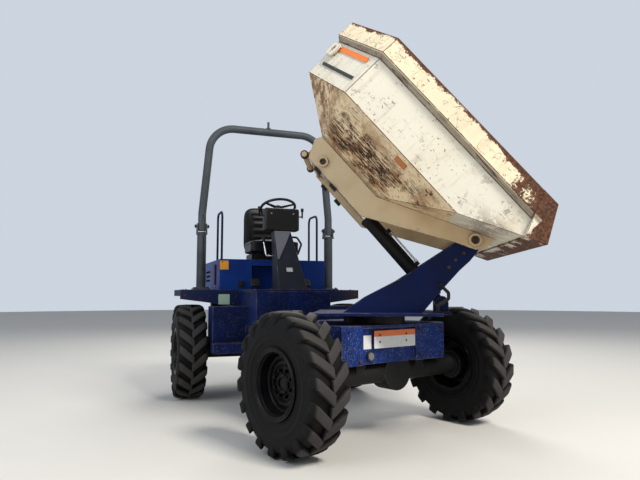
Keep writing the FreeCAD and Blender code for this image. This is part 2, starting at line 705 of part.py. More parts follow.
# Fixed engine housing with a recess for the operator's legs.
house_nose = -S.housing_nose_x
house_split = -S.housing_split_x
wall = S.housing_plate
housing_outer = box("housing_outer", (house_split, house_nose), (-S.housing_half, S.housing_half),
                    (S.deck_top, S.housing_top))
housing_inner = box("housing_inner", (house_split - 5, house_nose - wall),
                    (wall - S.housing_half, S.housing_half - wall), (S.deck_top - 5, S.housing_top - wall))
recess_outer = box("recess_outer", (house_nose - S.leg_recess_depth, house_nose + 5),
                   (-S.leg_recess, S.leg_recess), (S.deck_top - 5, S.housing_top - 60))
recess_wall = cut("recess_wall", box("recess_box", (house_nose - S.leg_recess_depth - wall, house_nose),
                                     (-S.leg_recess - wall, S.leg_recess + wall),
                                     (S.deck_top, S.housing_top - 60 + wall)), [recess_outer])
shell = cut("housing_shell", housing_outer, [housing_inner])
shell_open = cut("housing_open", shell, [box("recess_mouth", (house_nose - wall - 5, house_nose + 5),
                                             (-S.leg_recess, S.leg_recess),
                                             (S.deck_top - 5, S.housing_top - 60))])
piece("engine_housing", fuse("engine_housing", [shell_open, recess_wall]), "rear")

# Hood: the rear part of the housing, hinged at its front top edge.
gap = 6
hood_outer = box("hood_outer", (-S.housing_tail_x, house_split - gap), (-S.housing_half, S.housing_half),
                 (S.deck_top + S.seat_gap, S.housing_top))
hood_inner = box("hood_inner", (wall - S.housing_tail_x, house_split + 5),
                 (wall - S.housing_half, S.housing_half - wall), (S.deck_top - 5, S.housing_top - wall))
slots = [box("hood_slot_%d" % index, (-S.housing_tail_x - 5, wall - S.housing_tail_x + 5), (-300, 300),
             (S.deck_top + 60 + index * 40, S.deck_top + 80 + index * 40)) for index in range(5)]
slots += [box("hood_side_slot_%d" % index, (100 - S.housing_tail_x, house_split - 150),
              (-S.housing_half - 5, S.housing_half + 5),
              (S.deck_top + 90 + index * 45, S.deck_top + 110 + index * 45))
          for index in range(3)]
hood_shell = cut("hood_shell", hood_outer, [hood_inner])
hood_hinge = rod("hood_hinge", "y", (house_split - gap, -200, S.housing_top + 6), 8, 400)
piece("engine_hood", fuse("engine_hood", [cut("hood_grille", hood_shell, slots), hood_hinge]), "hood")

# Seat on the housing.
seat_nose = -S.seat_nose_x
seat_tail = -S.seat_tail_x
piece("seat_base", box("seat_base", (seat_tail + 40, seat_nose - 90),
                       (S.seat_base_in - S.seat_half, S.seat_half - S.seat_base_in),
                       (S.housing_top, S.seat_low)), "rear")
piece("seat_cushion", box("seat_cushion", (seat_tail, seat_nose), (-S.seat_half, S.seat_half),
                          (S.seat_low, S.seat_top)), "rear")
back_nose = seat_tail - S.seat_gap
piece("seat_back", plate("seat_back", "xz", [
    (back_nose, S.seat_low + 20), (back_nose - 25, S.seat_back_top),
    (back_nose - S.seat_back_depth, S.seat_back_top - 10),
    (back_nose - S.seat_back_depth + 10, S.seat_low + 20),
], 10 - S.seat_half, S.seat_half - 10), "rear")
piece("seat_bracket", box("seat_bracket", (back_nose - S.bracket_depth, seat_tail + 40),
                          (-S.bracket_half, S.bracket_half), (S.housing_top, S.seat_low)), "rear")

# Console, instrument box and steering wheel.
con_nose = -S.console_nose_x
foot_tail = con_nose - S.console_foot
con_top_x = -S.dash_x
console = loft("console", [
    (S.deck_top, [(foot_tail, -S.console_right), (con_nose, -S.console_right),
                  (con_nose, S.console_half), (foot_tail, S.console_half)]),
    (S.console_top, [(con_top_x - 50, -80), (con_top_x + 50, -80), (con_top_x + 50, 80),
                     (con_top_x - 50, 80)]),
])
tube_x = con_top_x.value
tube_high = S.console_top.value - S.tube_top.value
brake_low = S.console_top.value - S.brake_low.value
loop_low = S.console_top.value - S.loop_low.value
brake_out = S.brake_out.value
loop_out = S.loop_out.value
brake_tube = tube("console_brake", [
    (tube_x + 75, -60, brake_low), (tube_x + 75, 22 - brake_out, brake_low),
    (tube_x + 40, -brake_out, tube_high),
], S.console_tube.value, 25)
loop_tube = tube("console_loop", [
    (tube_x + 25, 40, tube_high), (tube_x + 25, loop_out - 40, tube_high),
    (tube_x + 40, loop_out, tube_high - 65), (tube_x + 55, loop_out - 40, loop_low),
    (tube_x + 70, 50, loop_low),
], S.console_tube.value, 25)
piece("console", fuse("console_whole", [console, brake_tube, loop_tube]), "rear")
dash_top = S.console_top + S.dash_height
piece("instrument_box", box("instrument_box", (con_top_x - S.dash_depth / 2, con_top_x + S.dash_depth / 2),
                            (-S.dash_half, S.dash_half), (S.console_top, dash_top)), "rear")
lever_parts = []
for label, side in (("right", -1), ("left", 1)):
    root = S.dash_half * side
    tip_y = (S.dash_half + 42) * side
    low_y = root if side > 0 else tip_y
    stalk = rod("lever_stalk_" + label, "y", (con_top_x, low_y, dash_top - 70), 6, 42)
    stick = rod("lever_stick_" + label, "z", (con_top_x, tip_y, dash_top - 82), 8, 70)
    knob = rod("lever_knob_" + label, "z", (con_top_x, tip_y, dash_top - 20), 14, 32)
    lever_parts.append(fuse("lever_" + label, [stalk, stick, knob]))
levers = doc.addObject("Part::Compound", "control_levers")
levers.Links = lever_parts
piece("control_levers", levers, "rear")
lean = math.radians(S.wheel_hand_lean.value)
hand_centre = Vector(-S.wheel_hand_x.value, 0, S.wheel_hand_z.value)
along = Vector(-math.sin(lean), 0, math.cos(lean))
column_reach = 130
column_low = hand_centre - along * column_reach
box_rear = con_top_x.value - S.dash_depth.value / 2
column = doc.addObject("Part::Feature", "steering_column")
column.Shape = Part.makeCylinder(24, column_reach - 20 - S.seat_gap.value, column_low, along).fuse(
    Part.makeCylinder(10, column_reach + 10, column_low, along)).cut(
    Part.makeBox(400, 400, 600, Vector(box_rear, -200, dash_top.value - 460)))
piece("steering_column", column, "rear")
ring = Part.makeTorus(S.wheel_hand_radius.value, S.wheel_hand_tube.value, hand_centre + along * 20, along)
hub = Part.makeCylinder(34, 50, hand_centre - along * 20, along)
hand = hub
across = Vector(0, 1, 0)
upward = along.cross(across)
for turn in (90, 210, 330):
    ray = across * math.cos(math.radians(turn)) + upward * math.sin(math.radians(turn))
    spoke = Part.makeCylinder(9, S.wheel_hand_radius.value, hand_centre + along * 20, ray)
    hand = hand.fuse(spoke)
hand = hand.fuse(ring).cut(Part.makeCylinder(10 + S.running_gap.value, 34, hand_centre - along * 21, along))
wheel_item = doc.addObject("Part::Feature", "steering_wheel")
wheel_item.Shape = hand
piece("steering_wheel", wheel_item, "steering_wheel")

# Grab rails beside the seat.
rail_y = S.housing_half.value - S.rail_inset.value
rail_points = [
    (-S.rail_nose_x.value, rail_y, S.housing_top.value),
    (-S.rail_nose_x.value, rail_y, S.rail_top.value),
    (-S.rail_tail_x.value, rail_y, S.rail_top.value),
    (-S.rail_tail_x.value, rail_y, S.housing_top.value),
]
piece("grab_rails", both("grab_rails", tube("grab_rail", rail_points, S.rail_tube.value, 60)), "rear")

# Roll-over hoop: fixed posts and a folding top.
rops_half = S.housing_half + S.rops_gap
rops_x = -S.rops_x
ear = 10
post_top = S.rops_joint - 66
post = rod("rops_post", "z", (rops_x, rops_half, S.deck_top), S.rops_post, post_top - S.deck_top - 16)
foot = box("rops_foot", (rops_x - 90, rops_x + 90), (rops_half - 80, rops_half + 80),
           (S.deck_top, S.deck_top + 16))
ears = []
for label, side in (("in", -1), ("out", 1)):
    middle = rops_half + side * (S.rops_tube.value + 1 + ear / 2)
    ears.append(box("rops_ear_" + label, (rops_x - 44, rops_x + 30), (middle - ear / 2, middle + ear / 2),
                    (post_top - 16, S.rops_joint)))
    ears.append(rod("rops_ear_end_" + label, "y", (rops_x, middle - ear / 2, S.rops_joint), 30, ear))
seat_plate = box("rops_seat", (rops_x - 52, rops_x + 45), (rops_half - 50, rops_half + 50),
                 (post_top - 16, post_top))
back_plate = box("rops_back", (rops_x - 52, rops_x - 44), (rops_half - 50, rops_half + 50),
                 (post_top - 16, S.rops_joint - 50))
pin = rod("rops_pin", "y", (rops_x, rops_half - 58, S.rops_joint), 12, 116)
posts = fuse("rops_side", [post, foot, seat_plate, back_plate, pin] + ears)
piece("rops_posts", both("rops_posts", posts), "rear")
hoop_x = rops_x.value
leg = rops_half.value
lean_in = S.rops_lean.value
top_z = S.rops_top.value - S.rops_tube.value
hoop = tube("rops_hoop_tube", [
    (hoop_x, -leg, S.rops_joint.value - 45), (hoop_x, -leg, S.rops_joint.value + 130),
    (hoop_x, lean_in - leg, top_z), (hoop_x, leg - lean_in, top_z),
    (hoop_x, leg, S.rops_joint.value + 130), (hoop_x, leg, S.rops_joint.value - 45),
], S.rops_tube.value, S.rops_bend.value)
eyes = both("rops_eyes", rod("rops_eye", "y", (rops_x, rops_half - 42, S.rops_joint), 12 + 0.05, 84))
seat_disc = rod("beacon_seat", "z", (rops_x, 0, S.rops_top - 20), 24, 20 + S.beacon_foot)
stub = rod("beacon_stub", "z", (rops_x, 0, S.rops_top - 15), S.beacon_spigot, 15 + S.beacon_height)
piece("rops_hoop", fuse("rops_hoop", [cut("rops_hoop_bored", hoop, [eyes]), seat_disc, stub]), "rops_hoop")

# Slew ring under the table.
ring_hole = rod("ring_hole", "z", (S.turn_x, 0, S.front_top - 5), S.ring_radius - 60, 100)
piece("slew_ring", cut("slew_ring", rod("slew_ring_disc", "z", (S.turn_x, 0, S.front_top), S.ring_radius,
                                        S.table_low - S.front_top - S.seat_gap), [ring_hole]), "front")

# Slew table, drawn about the slew axis.
table_plan = [(-S.table_tail, -S.table_half), (S.table_nose, -S.table_half), (S.table_nose, S.table_half),
              (-S.table_tail, S.table_half)]
table = plate("table_plan", "xy", table_plan, S.table_low, S.table_top)
bracket_half = S.ram_radius + 4
ram_ears = both("ram_ears", fuse("ram_ear", [
    rod("ram_ear_disc", "y", (S.ram_x, bracket_half, S.ram_z), 45, 20),
    box("ram_ear_block", (S.ram_x - 45, S.ram_x + 45), (bracket_half, bracket_half + 20),
        (S.table_low, S.ram_z)),
]))
table_tongue = box("table_tongue", (S.table_nose - 10, S.ram_x + 60), (-120, 120),
                   (S.table_low, S.table_top))
ram_low_pin = rod("ram_low_pin", "y", (S.ram_x, -bracket_half - 28, S.ram_z), S.ram_pin,
                  bracket_half * 2 + 56)
piece("slew_table", fuse("slew_table", [table, table_tongue, ram_ears, ram_low_pin]), "table")

# Tower: two leaning plates that carry the tipping pivot.
tower_outline = [
    (-215, S.table_top), (-63, S.table_top + 102), (167, S.table_top + 220), (S.tip_x - 122, S.tip_z - 19),
    (S.tip_x - 34, S.tip_z + 36), (S.tip_x, S.tip_z + 50), (S.tip_x + 36, S.tip_z + 34),
    (S.tip_x + 50, S.tip_z), (S.tip_x + 40, S.tip_z - 50), (S.tip_x - 29, S.tip_z - 135),
    (S.tip_x - 94, S.tip_z - 193), (425, S.table_top + 135), (326, S.table_top + 18), (310, S.table_top),
]
tower_plates = both("tower_plates", plate("tower_side", "xz", tower_outline, S.tower_half - S.tower_plate,
                                          S.tower_half))
tower_tie = rod("tower_tie", "y", (S.tip_x - 110, -S.tower_half, S.tip_z - 130), 30, S.tower_half * 2)
tip_pin_reach = S.skip_floor_half - S.tower_half + S.tower_plate + 26
tip_pin_y = S.tower_half - S.tower_plate - 10
pivots = both("tip_pins", rod("tip_pin", "y", (S.tip_x, tip_pin_y, S.tip_z), S.tip_pin, tip_pin_reach))
piece("tower", fuse("tower", [tower_plates, tower_tie, pivots]), "table")

# Hose of the ram, from the table to the right tower plate.
hose_y = -S.tower_half.value - 24
table_z = S.table_top.value
piece("ram_hose", tube("ram_hose", [
    (400, hose_y, table_z + S.seat_gap.value), (400, hose_y, table_z + 45), (475, hose_y, table_z + 90),
    (475, hose_y, table_z + 130), (430, hose_y, table_z + 174),
    (430, hose_y + 24 - S.seat_gap.value, table_z + 174),
], 11, 18), "table")

# Ram, drawn from its lower pin along +X.
ram_bore = rod("ram_bore", "x", (120, 0, 0), S.ram_rod + S.running_gap, S.ram_barrel)
barrel = fuse("ram_barrel_solid", [
    rod("ram_tube", "x", (50, 0, 0), S.ram_radius, S.ram_barrel - 50),
    rod("ram_gland", "x", (S.ram_barrel - 46, 0, 0), S.ram_radius + 6, 40),
    rod("ram_base_eye", "y", (0, 4 - S.ram_radius, 0), 42, S.ram_radius * 2 - 8),
    box("ram_base_web", (10, 80), (-30, 30), (-30, 30)),
    box("ram_port_low", (296, 326), (-34, -10), (-S.ram_radius - 20, 20 - S.ram_radius)),
    box("ram_port_high", (600, 630), (-34, -10), (-S.ram_radius - 20, 20 - S.ram_radius)),
    rod("ram_pipe", "x", (310, -22, -S.ram_radius - 12), 6, 305),
])
base_bore = rod("ram_base_bore", "y", (0, -60, 0), S.ram_pin + S.running_gap, 120)
piece("ram_barrel", cut("ram_barrel", barrel, [ram_bore, base_bore]), "ram_barrel")
top_x = S.ram_top_x.value
lift_z = S.ram_top_z.value
tip = math.radians(S.tip_angle.value)
up_x = S.tip_x.value + top_x * math.cos(tip) + lift_z * math.sin(tip)
up_z = S.tip_z.value - top_x * math.sin(tip) + lift_z * math.cos(tip)
ram_length = math.hypot(up_x - S.ram_x.value, up_z - S.ram_z.value)
ram_angle = math.degrees(math.atan2(up_z - S.ram_z.value, up_x - S.ram_x.value))
down_length = math.hypot(S.tip_x.value + top_x - S.ram_x.value, S.tip_z.value + lift_z - S.ram_z.value)
stroke = ram_length - down_length
rod_start = 120 + stroke + 6
ram_rod_item = fuse("ram_rod", [
    rod("ram_rod_bar", "x", (rod_start, 0, 0), S.ram_rod, ram_length - rod_start - 20),
    rod("ram_rod_eye", "y", (ram_length, -32, 0), 40, 64),
])
piece("ram_rod", ram_rod_item, "ram_rod")

# Skip, drawn about the tipping pivot with the skip level.
def tub_ring(rear, half, cant, front):
    """Six-sided plan: a straight rear wall, two canted corners and a straight front."""
    return [(rear, -(half - cant)), (rear + cant, -half), (front, -half),
            (front, half), (rear + cant, half), (rear, half - cant)]


def front_at(level):
    """Front plate at a height."""
    return S.skip_floor_front_x + (level - S.skip_floor) / S.skip_front_slope


inset = S.skip_wall * 1.5
rim_half = S.skip_top_half + S.skip_rim_over
ridge_half = S.skip_top_half - S.skip_ridge_in
lip_z = S.skip_floor + (S.skip_lip_x - S.skip_floor_front_x) * S.skip_front_slope
mouth_lean = (S.skip_lip_x - S.skip_band_nose) / (S.skip_rim_top - lip_z)
mouth = plate("mouth", "xz", [
    (S.skip_lip_x, lip_z), (S.skip_lip_x + 300, lip_z), (S.skip_lip_x + 300, S.skip_rim_top + 60),
    (S.skip_band_nose - mouth_lean * 60, S.skip_rim_top + 60),
], -rim_half - 50, rim_half + 50)
outer_tub = loft("tub_outer", [
    (S.skip_floor, tub_ring(S.skip_floor_rear_x, S.skip_floor_half, term(22), S.skip_floor_front_x)),
    (S.skip_ridge, tub_ring(S.skip_ridge_rear_x, ridge_half, S.skip_cant, front_at(S.skip_ridge))),
    (S.skip_rim_seat, tub_ring(S.skip_rear_x, S.skip_top_half, S.skip_cant + 10, front_at(S.skip_rim_seat))),
])
low_in = S.skip_floor + S.skip_wall
inner_front = inset * 1.3
inner_tub = loft("tub_inner", [
    (low_in, tub_ring(S.skip_floor_rear_x + 6, S.skip_floor_half - 3, term(22), S.skip_floor_front_x - 6)),
    (S.skip_ridge, tub_ring(S.skip_ridge_rear_x + inset, ridge_half - inset, S.skip_cant,
                            front_at(S.skip_ridge) - inner_front)),
    (S.skip_rim_seat + 1, tub_ring(S.skip_rear_x + inset, S.skip_top_half - inset, S.skip_cant + 10,
                                   front_at(S.skip_rim_seat + 1) - inner_front)),
])
tub_open = cut("skip_tub_open", outer_tub, [inner_tub, mouth])
piece("skip_tub", tub_open, "skip")

# Rim band round the sides and rear of the skip, with cheeks down to the lip.
over = S.skip_rim_over
band_front = S.skip_lip_x
band_rear = S.skip_rear_x - over
band_cant = S.skip_cant + 10 + over * 0.8
band_outer = fuse("band_outer", [
    loft("band_skirt", [
        (S.skip_rim_seat, tub_ring(S.skip_rear_x, S.skip_top_half, S.skip_cant + 10, band_front)),
        (S.skip_rim_low, tub_ring(band_rear, rim_half, band_cant, band_front)),
    ]),
    plate("band_face", "xy", tub_ring(band_rear, rim_half, band_cant, band_front),
          S.skip_rim_low, S.skip_rim_top),
])
band_void = plate("band_void", "xy", tub_ring(S.skip_rear_x + inset, S.skip_top_half - inset,
                                              S.skip_cant + 10, band_front + 5),
                  S.skip_rim_seat - 5, S.skip_rim_top + 5)
band_ring = cut("band_ring", band_outer, [band_void])
strip = S.skip_lip_strip
strip_low_x = S.skip_lip_x - strip
strip_low_z = lip_z - strip * S.skip_front_slope
cheeks = both("mouth_strips", plate("mouth_strip", "xz", [
    (S.skip_lip_x, lip_z), (S.skip_band_nose, S.skip_rim_top), (S.skip_band_nose - strip, S.skip_rim_top),
    (strip_low_x, strip_low_z),
], S.skip_top_half - inset, rim_half + 4))
drop = S.skip_lip_plate * 0.88
lip_bar = plate("lip_strip", "xz", [
    (strip_low_x, strip_low_z), (S.skip_lip_x, lip_z),
    (S.skip_lip_x + drop * S.skip_front_slope, lip_z - drop),
    (strip_low_x + drop * S.skip_front_slope, strip_low_z - drop),
], -rim_half - 4, rim_half + 4)
rim_solid = fuse("skip_rim_solid", [band_ring, cheeks, lip_bar])
piece("skip_rim", cut("skip_rim", rim_solid, [outer_tub, mouth]), "skip")

# Underframe: two boomerang plates below the skip, tied by bosses.
rail_half = S.skip_floor_half
floor_z = S.skip_floor
rail_line = [
    (S.skip_floor_rear_x, floor_z), (S.skip_floor_rear_x - 20, floor_z - 50), (-1142, S.rail_low),
    (-610, S.rail_low), (-61, -98), (10, -60), (50, -38), (90, 10), (front_at(term(100)), 100),
    (S.skip_floor_front_x, floor_z),
]
rail = plate("rail_side", "xz", rail_line, rail_half - S.rail_plate, rail_half)
ram_stub = rod("ram_top_stub", "y", (S.ram_top_x, 33, S.ram_top_z), S.ram_pin + 8, rail_half - 33)
ram_ring = rod("ram_top_ring", "y", (S.ram_top_x, rail_half, S.ram_top_z), S.ram_pin + 16, 8)
tip_boss = rod("tip_boss", "y", (0, rail_half, 0), 44, 14)
rail_hole = rod("rail_hole", "y", (0, rail_half - 40, 0), S.tip_pin + S.running_gap, 90)
rail_pair = both("rails", cut("rail_bored", fuse("rail_solid", [rail, ram_stub, ram_ring, tip_boss]),
                              [rail_hole]))
rear_tie = box("rear_tie", (S.tie_x - 15, S.tie_x + 15), (-rail_half, rail_half), (S.rail_low + 10, floor_z))
piece("skip_underframe", fuse("skip_underframe", [rail_pair, rear_tie]), "skip")

# Rest pads under the underframe, and the bar that the travel latch holds.
pad_drop = S.tip_z + S.rail_low - S.table_top - S.seat_gap
pads = [box("pad_%d" % index, (middle - S.pad_half, middle + S.pad_half), (S.tower_half + 6, rail_half + 20),
            (S.rail_low - pad_drop, S.rail_low))
        for index, middle in enumerate((S.pad_rear_x, S.pad_front_x))]
piece("rest_pads", both("rest_pads", fuse("rest_pad_side", pads)), "skip")
latch_x = S.latch_x
latch_z = S.rail_low + 3
latch = fuse("travel_latch_bar", [
    rod("latch_tube", "y", (latch_x, -240, latch_z), 20, 480),
    both("latch_arms", box("latch_arm", (latch_x, S.tie_x - 15), (180, 200),
                           (S.rail_low + 10, S.rail_low + 60))),
])
piece("travel_latch_bar", latch, "skip")
doc.recompute()

# Each body's place. The ram points from its lower pin to its upper pin.
steer = Placement(Vector(), Rotation(Vector(0, 0, 1), S.steer_left.value))
turn = Placement(Vector(S.turn_x.value, 0, 0), Rotation(Vector(0, 0, 1), S.slew_left.value))
table_place = steer.multiply(turn)
tip_place = table_place.multiply(Placement(Vector(S.tip_x.value, 0, S.tip_z.value),
                                           Rotation(Vector(0, 1, 0), S.tip_angle.value)))
ram_place = table_place.multiply(Placement(Vector(S.ram_x.value, 0, S.ram_z.value),
                                           Rotation(Vector(0, 1, 0), -ram_angle)))
BODIES = {
    "rear": Placement(), "hood": Placement(), "steering_wheel": Placement(), "rops_hoop": Placement(),
    "wheel_rear_right": Placement(), "wheel_rear_left": Placement(), "pivot": Placement(),
    "front": steer, "wheel_front_right": steer, "wheel_front_left": steer, "table": table_place,
    "skip": tip_place, "ram_barrel": ram_place, "ram_rod": ram_place,
}
shapes = {}
for label, item, body in PIECES:
    holder = doc.addObject("Part::Compound", "node_" + label)
    holder.Links = [item]
    item.Label = label + "_shape"
    holder.Label = label
    shapes[label] = (holder, BODIES[body])
doc.recompute()
whole = None
for holder, where in shapes.values():
    holder.Placement = where
    bounds = holder.Shape.BoundBox
    whole = bounds if whole is None else whole.united(bounds)
# The origin goes to the middle of the footprint, on the ground.
shift = Placement(Vector(-(whole.XMin + whole.XMax) / 2, -(whole.YMin + whole.YMax) / 2, -whole.ZMin),
                  Rotation())
for holder, where in shapes.values():
    holder.Placement = shift.multiply(where)
doc.recompute()

for item in doc.Objects:
    if "Invalid" in item.State or "Error" in item.State:
        raise RuntimeError("%s is %s" % (item.Label, item.State))
os.makedirs("parts", exist_ok=True)
for label, (holder, where) in shapes.items():
    shape = holder.Shape
    if shape.isNull() or not shape.isValid() or not shape.Solids:
        raise RuntimeError("%s has no valid solid" % label)
    shape.exportStep(os.path.join("parts", label + ".step"))
box_all = None
for holder, where in shapes.values():
    bounds = holder.Shape.BoundBox
    box_all = bounds if box_all is None else box_all.united(bounds)
print("nodes", len(shapes), "box", box_all, "shift", shift.Base)
down_rise = S.tip_z.value + lift_z - S.ram_z.value
down_run = S.tip_x.value + top_x - S.ram_x.value
ram_down = math.degrees(math.atan2(down_rise, down_run))
print("ram length %.4f angle %.5f stroke %.4f down %.5f" % (ram_length, ram_angle, stroke, ram_down))
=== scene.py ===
import json
import logging
import math
from dataclasses import dataclass, field
from enum import Enum

import bmesh
import bpy
from mathutils import Matrix, Vector

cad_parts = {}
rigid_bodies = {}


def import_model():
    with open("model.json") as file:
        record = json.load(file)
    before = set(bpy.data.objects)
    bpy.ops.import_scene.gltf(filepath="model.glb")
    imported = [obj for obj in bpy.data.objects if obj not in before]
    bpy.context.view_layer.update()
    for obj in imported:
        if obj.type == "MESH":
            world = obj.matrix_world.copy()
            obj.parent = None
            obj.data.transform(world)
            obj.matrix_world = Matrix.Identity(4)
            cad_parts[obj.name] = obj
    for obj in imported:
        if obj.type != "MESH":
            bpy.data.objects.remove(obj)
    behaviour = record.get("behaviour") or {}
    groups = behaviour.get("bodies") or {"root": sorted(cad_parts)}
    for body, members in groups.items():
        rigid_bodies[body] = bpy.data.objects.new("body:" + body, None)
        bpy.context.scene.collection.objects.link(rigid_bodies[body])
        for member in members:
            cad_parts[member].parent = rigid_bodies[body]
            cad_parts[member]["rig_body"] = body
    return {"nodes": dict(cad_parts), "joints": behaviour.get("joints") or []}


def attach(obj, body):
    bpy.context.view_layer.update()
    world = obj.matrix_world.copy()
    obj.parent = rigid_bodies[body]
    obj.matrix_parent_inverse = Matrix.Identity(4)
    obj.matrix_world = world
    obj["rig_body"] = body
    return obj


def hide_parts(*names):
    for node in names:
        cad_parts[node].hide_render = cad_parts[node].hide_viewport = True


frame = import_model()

LOG = logging.getLogger("dumper")
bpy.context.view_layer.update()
Colour = tuple[float, float, float, float]
Triple = tuple[float, float, float]
Pair = tuple[float, float]


def rgb(red: float, green: float, blue: float) -> Colour:
    """An opaque colour in linear values."""
    return (red, green, blue, 1.0)


class Signal:
    """A shader socket that takes arithmetic."""

    def __init__(self, recipe: "Recipe", socket: bpy.types.NodeSocket) -> None:
        """Keep the socket and the recipe that its nodes go to."""
        self.recipe = recipe
        self.socket = socket

    def _math(self, operation: str, *values: "Signal | float") -> "Signal":
        """A Math node of the given operation.

        Args:
            operation: Blender's name of the operation.
            values: the node's inputs in order.
        Returns:
            The node's result.
        """
        return self.recipe.node("ShaderNodeMath", {"operation": operation}, dict(enumerate(values)))

    def __add__(self, other: "Signal | float") -> "Signal":
        """Sum."""
        return self._math("ADD", self, other)

    def __radd__(self, other: float) -> "Signal":
        """Sum with a number first."""
        return self._math("ADD", other, self)

    def __sub__(self, other: "Signal | float") -> "Signal":
        """Difference."""
        return self._math("SUBTRACT", self, other)

    def __rsub__(self, other: float) -> "Signal":
        """Difference with a number first."""
        return self._math("SUBTRACT", other, self)

    def __mul__(self, other: "Signal | float") -> "Signal":
        """Product."""
        return self._math("MULTIPLY", self, other)

    def __abs__(self) -> "Signal":
        """Size without sign."""
        return self._math("ABSOLUTE", self)

    def __or__(self, other: "Signal | float") -> "Signal":
        """The larger of two masks."""
        return self._math("MAXIMUM", self, other)

    def step(self, low: float, high: float) -> "Signal":
        """A smooth rise from 0 at low to 1 at high; it falls where low is the larger.

        Args:
            low: value that gives 0.
            high: value that gives 1.
        Returns:
            The mask.
        """
        if low > high:
            return 1 - self.step(high, low)
        return self.recipe.node("ShaderNodeMapRange", {"interpolation_type": "SMOOTHSTEP"},
                                {"Value": self, "From Min": low, "From Max": high}, "Result")

    def band(self, low: float, high: float, soft: float = 0.001) -> "Signal":
        """1 between low and high, 0 outside, with soft edges."""
        return self.step(low - soft, low + soft) * self.step(high + soft, high - soft)


